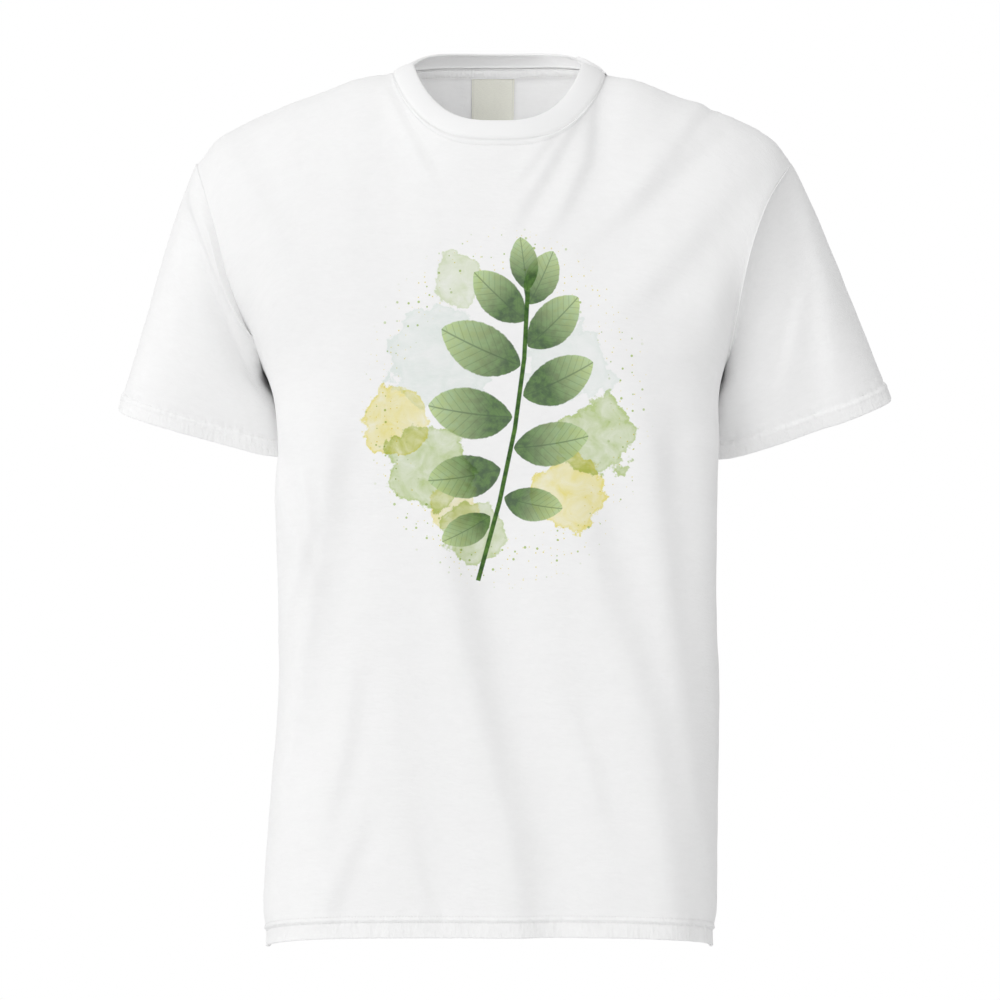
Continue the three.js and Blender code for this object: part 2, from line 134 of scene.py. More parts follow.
# Each fold: its line of (x, z), how far the cloth moves, how wide its slope is, how far it reaches.
# The cloth stands proud on the side that lies left of the line as it is walked upwards.
BROAD_FOLDS = {"front": [
    ([(-29, -423), (-12, -520), (10, -604), (25, -660), (34, -767)], 7, 13, 46),
    ([(140, -310), (147, -378), (158, -480), (168, -541), (182, -640)], 6, 11, 34),
    ([(89, -404), (110, -480), (140, -565), (153, -650), (167, -740)], 6, 14, 40),
    ([(-135, -361), (-148, -446), (-160, -530), (-172, -590)], 5, 12, 36),
    ([(216, -112), (180, -150), (140, -197)], 3.5, 12, 30),
]}
FINE_FOLDS = {"front": [
    ([(73, -570), (86, -606), (92, -630)], 2.0, 7, 20),
    ([(-117, -548), (-119, -577), (-128, -612)], 2.2, 6, 18),
    ([(-119, -680), (-134, -716)], 1.8, 6, 16),
    ([(-63, -687), (-56, -714)], 1.6, 6, 16),
    ([(-182, -353), (-176, -378), (-162, -417)], 2.2, 4, 12),
    ([(-157, -374), (-155, -404), (-168, -455), (-178, -490)], 2.0, 4, 12),
    ([(183, -39), (162, -70), (140, -100)], 2.4, 7, 20),
    ([(169, -83), (145, -107), (118, -129)], 2.2, 7, 20),
    ([(-220, -80), (-182, -146)], 1.6, 8, 24),
    ([(-88, -28), (-74, -58), (-58, -89)], 1.6, 4, 12),
    ([(66, -61), (49, -92), (34, -118)], 2.4, 4.5, 14),
    ([(46, -72), (32, -92)], 1.6, 3.5, 10),
    ([(86, -41), (81, -89), (66, -120)], 2.2, 5, 16),
]}
BROAD_FOLDS["back"] = [
    ([(-70, -330), (-88, -500), (-100, -767)], -7, 16, 50),
    ([(45, -300), (60, -480), (80, -767)], 7, 16, 50),
    ([(-170, -150), (-120, -240), (-90, -320)], 4, 14, 36),
    ([(165, -150), (120, -230), (95, -310)], -4, 14, 36),
]
FINE_FOLDS["back"] = [
    ([(-178, -350), (-165, -420), (-150, -500)], 2.4, 7, 22),
    ([(176, -340), (160, -420), (150, -520)], -2.4, 7, 22),
    ([(-20, -520), (-8, -620), (0, -700)], 2.0, 8, 24),
    ([(-120, -70), (-80, -110)], 1.8, 7, 18),
    ([(118, -70), (84, -112)], -1.8, 7, 18),
]
SLEEVE_FOLDS = {
    "left": [
        ([(-252, -152), (-238, -192), (-220, -232), (-201, -268)], 8.5, 4.5, 18),
        ([(-265, -112), (-266, -150), (-262, -178)], 1.6, 6, 18),
        ([(-277, -150), (-279, -201)], 1.4, 6, 18),
    ],
    "right": [
        ([(259, -103), (277, -185), (279, -218), (286, -291)], 3.0, 7, 24),
        ([(259, -213), (250, -251)], 2.0, 5, 16),
        ([(257, -89), (250, -103), (244, -117)], 1.6, 4, 10),
    ],
}
FOLD_RUN_OUT = 45
# Small seeded waves between the folds: height, length across and up, how many are summed.
BODY_WAVES = [(0.8, 75, 260, 7), (0.22, 24, 40, 9)]
SLEEVE_WAVES = [(0.9, 62.83, 200, 3), (0.22, 25.13, 40, 9)]
PANEL_SEED = {"front": 11, "back": 12}
SLEEVE_SEED = {"left": 51, "right": 61}
SIDE_SEAM_SEED, TOP_SEAM_SEED, TAPE_SEED, LABEL_SEED = 41, 42, 71, 72
YOKE_FLAT_Z = -60
YOKE_FADE = 60
SEAM_TUCK = 0.1
SEAM_LAP = 0.4
SEAM_EDGE = 1.6
# Where the panels are evened out below the armholes: reach up and down, from and over what share
# of the half width, how often.
UNDERARM_EVENING = {"reach": 40, "from": 0.3, "over": 0.2, "passes": 110}
# The rolled ridge of a sewn hem: height, width, how far above the lower stitches, how lumpy.
HEM_RIDGE = {"height": 1.2, "width": 2.0, "above": 2.6, "lumps": 0.6}
HEM_PUCKER = 0.5
HEM_SWAY = 0.8

# ---------------------------------------------------------------- curves and grids


def lerp(low, high, share):
    return low + (high - low) * share


def eased(share):
    """From 0 to 1 with level ends."""
    share = np.clip(share, 0, 1)
    return share * share * (3 - 2 * share)


def bell(distance, width):
    return np.exp(-((distance / width) ** 2))


def unit(directions):
    return directions / np.maximum(np.linalg.norm(directions, axis=-1, keepdims=True), TINY)


def curve_through(rows):
    """A smooth curve through rows of (position, value)."""
    table = np.array(rows, float)
    at, value = table[:, 0], table[:, 1]
    order = np.arange(len(at))
    before, after = np.maximum(order - 1, 0), np.minimum(order + 1, len(at) - 1)
    slope = (value[after] - value[before]) / (at[after] - at[before])

    def curve(position):
        i = np.searchsorted(at[1:-1], position)
        span = at[i + 1] - at[i]
        t = np.clip((position - at[i]) / span, 0, 1)
        leaving = slope[i] * span * t * (1 - t) ** 2
        arriving = slope[i + 1] * span * t * t * (1 - t)
        return lerp(value[i], value[i + 1], t * t * (3 - 2 * t)) + leaving - arriving

    return curve


left_side = curve_through(LEFT_SIDE)
right_side = curve_through(RIGHT_SIDE)
middle = {half: curve_through(rows) for half, rows in MIDDLE.items()}
ridge = curve_through(RIDGE)
armhole_x = {side: curve_through(ARMHOLES[side]["x"]) for side in ARMHOLES}


def rounded_turn(angle, roundness):
    """How far across (-1 to 1) and how far out (1 to 0) a place on a rounded half turn is."""
    across, out = np.sin(angle), np.abs(np.cos(angle))
    size = (np.abs(across) ** roundness + out**roundness) ** (1 / roundness)
    return across / size, out / size


def armhole_share(turn):
    return (1 - np.cos(np.pi * turn)) / 2


def armhole_point(side, half, share):
    deep = np.sqrt(np.clip(1 - (2 * share - 1) ** 2, 0, 1))
    x = armhole_x[side](share)
    y = lerp(lerp(SIDE_SEAM_Y, SHOULDER_SEAM_Y, share), ARMHOLES[side][half], deep)
    return x, y, lerp(UNDERARM_Z, SHOULDER_POINT_Z, share)


def side_hollow(out, z):
    """Beside the sleeves the side seam lies a little behind the corners of the front and back."""
    fade = eased((UNDERARM_Z - z) / HOLLOW_DROP)
    fade = fade * eased((z - HOLLOW_END[1]) / (HOLLOW_END[0] - HOLLOW_END[1]))
    return 1 + SIDE_HOLLOW * fade * (HOLLOW_BALANCE - bell(out * out, 0.3))


def ring_point(half, u, z):
    across, out = rounded_turn(u * np.pi / 2, BODY_ROUNDNESS[half])
    left, right = left_side(z), right_side(z)
    x = (left + right) / 2 + (right - left) / 2 * across * side_hollow(out, z)
    return x, lerp(SIDE_SEAM_Y, middle[half](z), out)


def yoke_depth(half, x, z):
    """How far forward or back the cloth lies above the underarm."""
    up = np.clip((z - UNDERARM_Z) / (ridge(np.abs(x)) - UNDERARM_Z), 0, 1)
    climb = np.clip((z - UNDERARM_Z) / (SHOULDER_POINT_Z - UNDERARM_Z), 0, 1)
    widening = 1 - (1 - climb) ** 2
    left = lerp(armhole_x["left"](0.0), armhole_x["left"](1.0), widening)
    right = lerp(armhole_x["right"](0.0), armhole_x["right"](1.0), widening)
    across = np.minimum(1, np.abs(x - (left + right) / 2) / ((right - left) / 2))
    flatter = np.where((half == "front") & (x > 0), ARMHOLE_FLATNESS, 0)
    across = across * (1 - flatter * np.sin(np.pi * climb))
    roundness = BODY_ROUNDNESS[half]
    out = (1 - across**roundness) ** (1 / roundness)
    level = lerp(SIDE_SEAM_Y, middle[half](float(UNDERARM_Z)), out)
    return lerp(SHOULDER_SEAM_Y, level, np.sqrt(1 - up * up))


def neck_place(loop, half, turn):
    across, out = rounded_turn(turn * np.pi / 2, NECK_ROUNDNESS)
    power = loop.get("flat_back", 3) if half == "back" else 3
    drop = np.clip(1 - np.abs(across) ** power, 0, 1) ** 0.8
    return loop["x"] + loop["half_width"] * across, out, lerp(loop["side"], loop[half], drop)


def neck_seam_point(half, turn):
    x, _, z = neck_place(NECK_SEAM, half, turn)
    y = np.where(np.abs(turn) < 1, yoke_depth(half, x, z), SHOULDER_SEAM_Y)
    return np.stack([x, y, z], -1)


def neck_edge_point(half, turn):
    x, out, z = neck_place(NECK_EDGE, half, turn)
    return np.stack([x, lerp(NECK_EDGE_Y["side"], NECK_EDGE_Y[half], out), z], -1)


def top_edge(half, u):
    """A panel's top edge: one shoulder, the neckline, the other shoulder."""
    points = neck_seam_point(half, np.clip(u / NECK_SHARE, -1, 1))
    shoulder = np.abs(u) > NECK_SHARE + TINY
    outer = np.where(u < 0, armhole_x["left"](1.0), armhole_x["right"](1.0))
    x = lerp(points[:, 0], outer, (np.abs(u) - NECK_SHARE) / (1 - NECK_SHARE))
    points[shoulder, 0] = x[shoulder]
    points[shoulder, 1] = SHOULDER_SEAM_Y
    points[shoulder, 2] = ridge(np.abs(x))[shoulder]
    return points


def yoke_points(half, u, share):
    """The panel above the underarm: it rises to its top edge, and its sides follow the armholes."""
    base_x, _ = ring_point(half, u, np.full_like(u, UNDERARM_Z))
    top = top_edge(half, u)
    share = share[:, None]
    x = lerp(base_x, top[:, 0], share)
    z = lerp(UNDERARM_Z, top[:, 2], share)
    y = np.zeros_like(x)
    for side, columns in (("left", u < 0), ("right", u >= 0)):
        seam_x, seam_y, seam_z = armhole_point(side, half, share)
        straight = lerp(armhole_x[side](0.0), armhole_x[side](1.0), share)
        reach = np.abs(u[columns])
        x[:, columns] += (seam_x - straight) * reach**3
        pull = seam_y - yoke_depth(half, seam_x, seam_z)
        level = yoke_depth(half, x[:, columns], z[:, columns])
        y[:, columns] = level + pull * reach ** SEAM_PULL[half][side]
    y[-1] = top[:, 1]
    return np.stack([x, y, z], -1)


def fold_height(folds, x, z):
    """How far the cloth moves out of the sheet for the folds, at places seen from the front."""
    height = np.zeros_like(x)
    for line, depth, slope, reach in folds:
        nearest = np.full_like(x, np.inf)
        beside, beyond = np.zeros_like(x), np.zeros_like(x)
        for (x0, z0), (x1, z1) in zip(line, line[1:]):
            length = math.hypot(x1 - x0, z1 - z0)
            along = ((x - x0) * (x1 - x0) + (z - z0) * (z1 - z0)) / length
            past = along - np.clip(along, 0, length)
            aside = ((x - x0) * (z0 - z1) + (z - z0) * (x1 - x0)) / length
            distance = np.hypot(aside, past)
            closer = distance < nearest
            nearest[closer] = distance[closer]
            beside[closer] = aside[closer]
            beyond[closer] = past[closer]
        run_out = min(FOLD_RUN_OUT, 2 * reach)
        height -= depth * np.tanh(beside / slope) * bell(beside, reach) * bell(beyond, run_out)
    return height


def soft_waves(x, z, seed, across, up, count=7):
    """Gentle seeded waves, about as long as across and up, between -1 and 1 or so."""
    random = np.random.default_rng(seed)
    waves = np.zeros(np.broadcast(x, z).shape)
    for _ in range(count):
        turn = random.uniform(-1, 1, 2)
        phase = random.uniform(0, 2 * np.pi)
        tilt = random.uniform(0.6, 1.4)
        waves += np.sin(2 * np.pi * (tilt * x / across + 0.5 * turn[0] * z / up) + phase)
        waves += np.sin(2 * np.pi * (tilt * z / up + 0.5 * turn[1] * x / across) + 2 * phase)
    return waves / (2 * math.sqrt(count))


def grid_normals(points, closed=False, flip=False):
    """Directions square to a sheet, pointing out of the garment."""
    if closed:
        across = np.roll(points, -1, 1) - np.roll(points, 1, 1)
    else:
        across = np.gradient(points, axis=1)
    normals = unit(np.cross(across, np.gradient(points, axis=0)))
    return -normals if flip else normals


def sampled(at, known, points):
    """Points at places along a line, from the points at known places on it."""
    return np.stack([np.interp(at, known, points[:, k]) for k in range(3)], -1)


def smoothed(points, weight, passes, closed=False):
    """Evens out a sheet's inner points where weight is near 1."""
    points = points.copy()
    for _ in range(passes):
        around = np.zeros_like(points)
        around[1:-1] = points[2:] + points[:-2]
        if closed:
            around += np.roll(points, 1, 1) + np.roll(points, -1, 1)
        else:
            around[:, 1:-1] += points[:, 2:] + points[:, :-2]
        inner = slice(None) if closed else slice(1, -1)
        change = (around / 4 - points)[1:-1, inner] * weight[1:-1, inner, None]
        points[1:-1, inner] += change
    return points


def cloth_places(points, closed=False):
    """Flat coordinates of a sheet in millimetres: along its rows and up its columns."""
    step = np.linalg.norm(np.diff(points, axis=1), axis=-1)
    along = np.concatenate([np.zeros((len(points), 1)), np.cumsum(step, 1)], 1)
    if not closed:
        along -= along[:, [-1]] / 2
    rise = np.linalg.norm(np.diff(points, axis=0), axis=-1)
    up = np.concatenate([np.zeros((1, points.shape[1])), np.cumsum(rise, 0)])
    return np.stack([along, up], -1)


# ---------------------------------------------------------------- mesh making


def rim(distance, radius):
    """Thickness factor that rounds the free edge of a sheet."""
    part = np.clip(distance / radius, 0, 1)
    return np.sqrt(np.clip(1 - (1 - part) ** 2, 0.02, 1))


def two_faces(points, thickness, rounding=1.0, closed=False, flip=False):
    """The outer and inner faces of cloth; rounding thins it evenly from both sides at a free edge."""
    inwards = -grid_normals(points, closed, flip)
    thickness = np.broadcast_to(thickness, points.shape[:2])[..., None]
    rounding = np.broadcast_to(rounding, points.shape[:2])[..., None]
    outer = points + inwards * thickness * (1 - rounding) / 2
    return outer, points + inwards * thickness * (1 + rounding) / 2


def object_from(name, vertices, faces, materials):
    mesh = bpy.data.meshes.new(name)
    mesh.from_pydata((np.asarray(vertices) * MM).tolist(), [], faces)
    for material in materials:
        mesh.materials.append(material)
    piece = bpy.data.objects.new(name, mesh)
    bpy.context.scene.collection.objects.link(piece)
    return piece


def cloth_object(name, outer, inner, materials, closed=False, flip=False, hem_last=False):
    """A closed piece of cloth from its two faces, with a map of its flat coordinates.

    The first material goes on the outer face and the edges, the last on the inner face. The map
    goes up from the first row, or from the last row where that one is the hem.
    """
    rows, columns = outer.shape[:2]
    layer = rows * columns
    j, i = np.meshgrid(np.arange(rows), np.arange(columns), indexing="ij")
    number = j * columns + i
    if closed:
        number = np.concatenate([number, number[:, :1]], 1)
    a, b = number[:-1, :-1], number[:-1, 1:]
    c, d = number[1:, 1:], number[1:, :-1]
    out_faces = np.stack([a, b, c, d], -1).reshape(-1, 4)
    in_faces = np.stack([a, d, c, b], -1).reshape(-1, 4) + layer

    def edge(line):
        return np.stack([line[:-1], line[:-1] + layer, line[1:] + layer, line[1:]], -1)

    edges = [edge(number[0]), edge(number[-1][::-1])]
    if not closed:
        edges += [edge(number[::-1, 0]), edge(number[:, -1])]
    faces = np.concatenate([out_faces, *edges, in_faces])
    if flip:
        faces = faces[:, ::-1]
    vertices = np.concatenate([outer.reshape(-1, 3), inner.reshape(-1, 3)])
    piece = object_from(name, vertices, faces.tolist(), materials)
    mesh = piece.data
    inside = np.zeros(len(faces), np.int32)
    inside[-len(in_faces):] = len(materials) - 1
    mesh.polygons.foreach_set("material_index", inside)
    places = cloth_places(outer, closed)
    if hem_last:
        places[..., 1] = places[-1:, :, 1] - places[..., 1]
    if closed:
        turn = np.linalg.norm(outer[:, 0] - outer[:, -1], axis=-1)
        seam = np.stack([places[:, -1, 0] + turn, places[:, 0, 1]], -1)
    flat = np.tile(places.reshape(-1, 2), (2, 1))
    corners = np.zeros(len(mesh.loops), np.int32)
    mesh.loops.foreach_get("vertex_index", corners)
    values = flat[corners]
    if closed:
        quads = corners.reshape(-1, 4) % columns
        wraps = (quads.max(1) - quads.min(1)) > columns // 2
        last = wraps[:, None] & (quads == 0)
        row = (corners.reshape(-1, 4) % layer) // columns
        values = values.reshape(-1, 4, 2)
        values[last] = seam[row[last]]
        values = values.reshape(-1, 2)
    layer_map = mesh.uv_layers.new(name="cloth")
    layer_map.data.foreach_set("uv", (values * MM).astype(np.float32).ravel())
    mesh.shade_smooth()
    mesh.set_sharp_from_angle(angle=math.radians(50))
    mesh.update()
    return piece


def along_path(path, normals, pitch):
    """Evenly spaced places on a path, with the path's direction and the normal at each."""
    step = np.linalg.norm(np.diff(path, axis=0), axis=1)
    length = np.concatenate([[0], np.cumsum(step)])
    at = np.arange(FIRST_STITCH, length[-1], pitch)
    direction = sampled(at + 0.5, length, path) - sampled(at - 0.5, length, path)
    return sampled(at, length, path), unit(direction), unit(sampled(at, length, normals))


def sewn_rows(points, level, normals, heights):
    """Lines across a sheet at given levels, and the way out of the cloth along them."""
    rows = []
    for height in heights:
        path, square = [], []
        for column in range(points.shape[1]):
            order = np.argsort(level[:, column])
            known = level[order, column]
            path.append(sampled(height, known, points[order, column]))
            square.append(sampled(height, known, normals[order, column]))
        rows.append((np.array(path), np.array(square)))
    return rows


FIRST_STITCH = 1.0
STITCH_SIDES = 6
# Rings of thread along one stitch: where, how wide, and how far above the cloth.
STITCH_RINGS = [
    (-0.5, 0.25, -0.5), (-0.36, 0.85, 0.05), (0, 1, 0.3), (0.36, 0.85, 0.05), (0.5, 0.25, -0.5),
]


def stitch_mesh(rows, length, thickness):
    """Vertices and faces of short lengths of thread that lie on the cloth and dip at their ends."""
    place, ahead, up = (np.concatenate(parts)[:, None] for parts in zip(*rows))
    share, width, lift = (column[:, None] for column in np.array(STITCH_RINGS).T)
    turn = np.arange(STITCH_SIDES)[:, None] * 2 * np.pi / STITCH_SIDES
    centre = place + ahead * share * length + up * lift * thickness
    across = np.cos(turn) * np.cross(up, ahead) + np.sin(turn) * up
    vertices = centre[:, :, None] + width[:, None] * thickness / 2 * across[:, None]
    one = []
    for low in range(0, (len(STITCH_RINGS) - 1) * STITCH_SIDES, STITCH_SIDES):
        for k in range(STITCH_SIDES):
            after = (k + 1) % STITCH_SIDES
            one.append((low + k, low + after, low + STITCH_SIDES + after, low + STITCH_SIDES + k))
    one.append(tuple(reversed(range(STITCH_SIDES))))
    one.append(tuple(low + STITCH_SIDES + k for k in range(STITCH_SIDES)))
    count = len(STITCH_RINGS) * STITCH_SIDES
    bases = range(0, count * len(vertices), count)
    return vertices.reshape(-1, 3), [tuple(base + k for k in face) for base in bases for face in one]


# ---------------------------------------------------------------- body panels

NECK_COLUMNS = 66
SHOULDER_COLUMNS = 59
YOKE_ROWS = 86
BODY_ROW_STEP = 3.3
HEM_ROWS = [
    0, 0.3, 0.8, 1.6, 3, 5, 7, 9, 10.6, 11.8, 12.6, 13.2, 13.8, 14.6, 15.4, 16.3, 17.2, 18.2, 19.4, 21,
]


def panel_columns():
    neck = NECK_SHARE * np.linspace(-1, 1, NECK_COLUMNS + 1)
    side = np.linspace(NECK_SHARE, 1, SHOULDER_COLUMNS + 1)[1:]
    close = side + 0.008 * np.sin(np.pi * (side - NECK_SHARE) / (1 - NECK_SHARE))
    return np.concatenate([-close[::-1], neck, close])


def panel_sheet(half, wrinkles):
    """The outer face of a body panel and the facts that its details need."""
    u = panel_columns()
    full = UNDERARM_Z - HEM_Z
    count = round((full - HEM_ROWS[-1]) / BODY_ROW_STEP)
    heights = np.concatenate([HEM_ROWS, np.linspace(HEM_ROWS[-1], full, count + 1)[1:]])
    _, out = rounded_turn(u * np.pi / 2, BODY_ROUNDNESS[half])
    rise = HEM_RISE[half] * out**1.6 * (1 - heights[:, None] / full) ** 2
    z = HEM_Z + heights[:, None] + rise
    x, y = ring_point(half, u[None, :], z)
    body = np.stack([x, y, z], -1)
    share = armhole_share(np.arange(1, YOKE_ROWS + 1) / YOKE_ROWS)
    points = np.concatenate([body, yoke_points(half, u, share)])

    outwards = -1 if half == "front" else 1
    x, z = points[..., 0], points[..., 2]
    seams = (1 - np.abs(u) ** 6) * (1 - eased((z - YOKE_FLAT_Z + YOKE_FADE) / YOKE_FADE))
    points[..., 1] += outwards * fold_height(BROAD_FOLDS[half], x, z) * seams

    evening = UNDERARM_EVENING
    weight = np.clip(1.5 - np.abs(z - UNDERARM_Z) / evening["reach"], 0, 1)
    weight = weight * np.clip((np.abs(u) - evening["from"]) / evening["over"], 0, 1)
    points = smoothed(points, weight, evening["passes"])

    flat = cloth_places(points)
    to_side = np.minimum(flat[..., 0] - flat[:, [0], 0], flat[:, [-1], 0] - flat[..., 0])
    to_top = flat[[-1], :, 1] - flat[..., 1]
    normals = grid_normals(points, flip=half == "back")
    move = wrinkles * fold_height(FINE_FOLDS[half], x, z) * (1 - np.abs(u) ** 10)
    seed = PANEL_SEED[half]
    for number, (deep, *lengths) in enumerate(BODY_WAVES):
        move += wrinkles * deep * soft_waves(x, z, seed + 10 * number, *lengths)
    height = points[..., 2] - points[[0], :, 2]
    move += hem_relief(height, flat[..., 0], BODY_HEM, seed + 20)
    move += seam_relief(to_side, flat[..., 1], SIDE_SEAM_SEED)
    neck = np.abs(u) <= NECK_SHARE + TINY
    shoulder_relief = seam_relief(to_top, flat[..., 0], TOP_SEAM_SEED)
    move += np.where(neck, neck_seam_relief(to_top), shoulder_relief)
    edge = np.clip(np.minimum(to_side, to_top) / SEAM_EDGE, 0, 1)[..., None]
    tuck = np.zeros_like(points)
    tuck[..., 2] = -1
    sides = to_side < to_top
    below = points[..., 2] < UNDERARM_Z
    tuck[sides] = armhole_inwards(points[sides])
    tuck[sides & below] = np.stack([-np.sign(x), 0 * x, 0 * x], -1)[sides & below]
    tuck[~sides & neck] = unit(NECK_CORE - points[~sides & neck])
    points = points + normals * move[..., None] * edge + tuck * SEAM_TUCK * (1 - edge)
    points[:, 0] += unit(points[:, 0] - points[:, 1]) * SEAM_LAP
    points[:, -1] += unit(points[:, -1] - points[:, -2]) * SEAM_LAP
    points[-1] += unit(points[-1] - points[-2]) * SEAM_LAP
    return {
        "points": points, "u": u, "to_top": to_top, "to_hem": height, "hem": BODY_HEM,
        "way": {"flip": half == "back"},
    }


def armhole_inwards(points):
    """The way in that both pieces take at an armhole seam."""
    towards = np.zeros_like(points)
    towards[..., 1] = SIDE_SEAM_Y - points[..., 1]
    towards[..., 2] = (UNDERARM_Z + SHOULDER_POINT_Z) / 2 - points[..., 2]
    return unit(towards)


def hem_relief(height, along, hem, seed):
    """The turned-up hem: a flat band, a row of stitches sunk in, and a rolled ridge above it."""
    above = height - (hem - STITCHES_LOW[0])
    lumps = 1 + HEM_RIDGE["lumps"] * soft_waves(along, 0 * height, seed + 7, 9, 60, 6)
    ridge_height = HEM_RIDGE["height"] * lumps * bell(above - HEM_RIDGE["above"], HEM_RIDGE["width"])
    sunk = -0.6 * bell(above, 0.9)
    pucker = soft_waves(along, height, seed, 8, 60, 6) * bell(above - 3, 8)
    sway = soft_waves(along, height, seed + 5, 34, 90, 5) * bell(height, 26)
    return ridge_height + sunk + HEM_PUCKER * pucker + HEM_SWAY * sway


def seam_relief(distance, along, seed):
    """A plain seam: a narrow groove with little puckers beside it."""
    pucker = soft_waves(along, distance, seed, 12, 40, 6) * bell(distance, 9)
    return -0.1 * bell(distance, 1.6) + 0.2 * bell(distance - 4, 2.5) + 0.3 * pucker


def neck_seam_relief(distance):
    """The edge under the collar: its seam allowance shows as a low ridge with a stitch line below."""
    return 0.55 * bell(distance - 2.6, 1.7) - 0.35 * bell(distance - 5.4, 0.8)


# ---------------------------------------------------------------- sleeves

SLEEVE_ROWS = 66


def body_side(side, y, z):
    level = np.minimum(z, UNDERARM_Z)
    left, right = left_side(level), right_side(level)
    reach = np.where(y < SIDE_SEAM_Y, middle["front"](level), middle["back"](level))
    out = np.minimum(1, np.abs((y - SIDE_SEAM_Y) / (reach - SIDE_SEAM_Y)))
    roundness = np.where(y < SIDE_SEAM_Y, BODY_ROUNDNESS["front"], BODY_ROUNDNESS["back"])
    width = (right - left) / 2 * (1 - out**roundness) ** (1 / roundness) * side_hollow(out, level)
    return (left + right) / 2 + (-width if side == "left" else width)


def sleeve_sheet(side, wrinkles):
    """The outer face of a sleeve: rows from the armhole to its hem, columns round it."""
    outwards = -1 if side == "left" else 1
    outer, inner = (np.array(end, float) for end in SLEEVE_ENDS[side])
    centre, reach = (outer + inner) / 2, (outer - inner) / 2
    top = np.array(armhole_point(side, "front", 1.0))
    length = np.linalg.norm(outer - top)
    hem_rows = 1 - np.array(HEM_ROWS[::-1]) * SLEEVE_HEM / BODY_HEM / length
    share = np.concatenate([np.linspace(0, hem_rows[0], SLEEVE_ROWS)[:-1], hem_rows])[:, None]
    number = np.arange(2 * YOKE_ROWS)
    front = number <= YOKE_ROWS
    turn = np.where(front, 1 - number / YOKE_ROWS, number / YOKE_ROWS - 1)
    start_front = np.stack(armhole_point(side, "front", armhole_share(turn)), -1)
    start_back = np.stack(armhole_point(side, "back", armhole_share(turn)), -1)
    start = np.where(front[:, None], start_front, start_back)
    angle = np.pi * number / YOKE_ROWS
    roundness = np.where(np.cos(angle) > 0, *SLEEVE_ROUNDNESS[side])
    forward, along = rounded_turn(angle, roundness)
    end = centre + reach * (along * np.sign(np.cos(angle)))[:, None]
    end[:, 1] -= SLEEVE_DEPTH[side] * forward * (1 + SLEEVE_TAPER * np.cos(angle))
    end[:, 2] -= SLEEVE_TILT * forward
    points = lerp(start[None], end[None], share[..., None])
    sunk = (1 - np.exp(-share * length / SINK_REACH[side])) * (1 - share) ** 1.5
    points[..., 1] += SLEEVE_SINK[side] * sunk * np.sin(np.pi * turn) * front
    puff = SLEEVE_PUFF[side] * np.sin(np.pi * share**0.7)
    points[..., 0] += outwards * puff * np.maximum(0, np.cos(angle))
    points[..., 1] -= 1.6 * puff * np.sin(angle)
    clear = body_side(side, points[..., 1], points[..., 2]) * outwards + SLEEVE_CLEARANCE
    below = np.clip((UNDERARM_Z - points[..., 2]) / UNDERARM_REACH, 0, 1)
    gap = np.maximum(outwards * points[..., 0] - clear, 0)
    held = gap * eased(gap / HUG_REACH)
    points[1:, :, 0] = outwards * (clear + lerp(gap, held, below))[1:]

    flat = cloth_places(points, closed=True)
    to_seam = flat[..., 1]
    to_hem = flat[[-1], :, 1] - flat[..., 1]
    normals = grid_normals(points, closed=True, flip=side == "right")
    faces_front = np.clip(np.sin(angle) * 1.6, 0, 1)
    move = wrinkles * fold_height(SLEEVE_FOLDS[side], points[..., 0], points[..., 2]) * faces_front
    seed = SLEEVE_SEED[side]
    ring = np.abs(np.pi - angle)[None, :] * ARM_RADIUS
    calm = np.clip(to_seam / CALM_REACH, 0, 1)
    on_flats = 0.6 + 0.4 * np.cos(angle * 2)[None, :]
    for number, (deep, *lengths) in enumerate(SLEEVE_WAVES):
        waves = soft_waves(ring, to_hem, seed + number, *lengths)
        move += wrinkles * deep * waves * calm * (1 if number else on_flats)
    move += hem_relief(to_hem, ring, SLEEVE_HEM, seed + 2)
    move += seam_relief(to_seam, ring, seed + 3)
    edge = np.clip(to_seam / SEAM_EDGE, 0, 1)[..., None]
    tuck = armhole_inwards(points) * SEAM_TUCK
    points = points + normals * move[..., None] * edge + tuck * (1 - edge)
    points[0] += unit(points[0] - points[1]) * SEAM_LAP
    way = {"closed": True, "flip": side == "right"}
    return {"points": points, "to_hem": to_hem, "hem": SLEEVE_HEM, "way": way}


# ---------------------------------------------------------------- collar, tape and label

COLLAR_COLUMNS = {"front": 150, "back": 120}
COLLAR_STEPS = np.array([0, 0.03, 0.08, 0.16, 0.26, 0.38, 0.5, 0.62, 0.74, 0.84, 0.91, 0.955, 0.985, 1])


def collar_sheet():
    """The outer face of the rib: rows from the neck seam to its folded edge, columns round it."""
    seam, edge = [], []
    for half in ("front", "back"):
        part = np.arange(COLLAR_COLUMNS[half]) * 2 / COLLAR_COLUMNS[half]
        turn = part - 1 if half == "front" else 1 - part
        seam.append(neck_seam_point(half, turn))
        edge.append(neck_edge_point(half, turn))
    seam, edge = np.concatenate(seam), np.concatenate(edge)
    out = unit((seam + edge) / 2 - NECK_CORE)
    steps = COLLAR_STEPS[:, None]
    roll = RIB_BULGE * 4 * steps * (1 - steps) - 0.35 * RIB_CLOTH * np.clip(steps - 0.9, 0, 1) * 10
    rise = lerp(seam[None], edge[None], steps[..., None])
    points = rise + out * (roll + 0.5 - 0.9 * bell(steps, 0.05))[..., None]
    width = np.linalg.norm(edge - seam, axis=1)
    return {"points": points, "to_edge": (1 - steps) * width, "from_seam": steps * width}


def down_cloth(sheet, distance):
    """Places at distances down each column from a sheet's top row."""
    step = np.linalg.norm(np.diff(sheet[::-1], axis=0), axis=-1)
    drop = np.concatenate([np.zeros((1, sheet.shape[1])), np.cumsum(step, 0)])
    columns = range(sheet.shape[1])
    return np.stack([sampled(distance, drop[:, k], sheet[::-1, k]) for k in columns], 1)


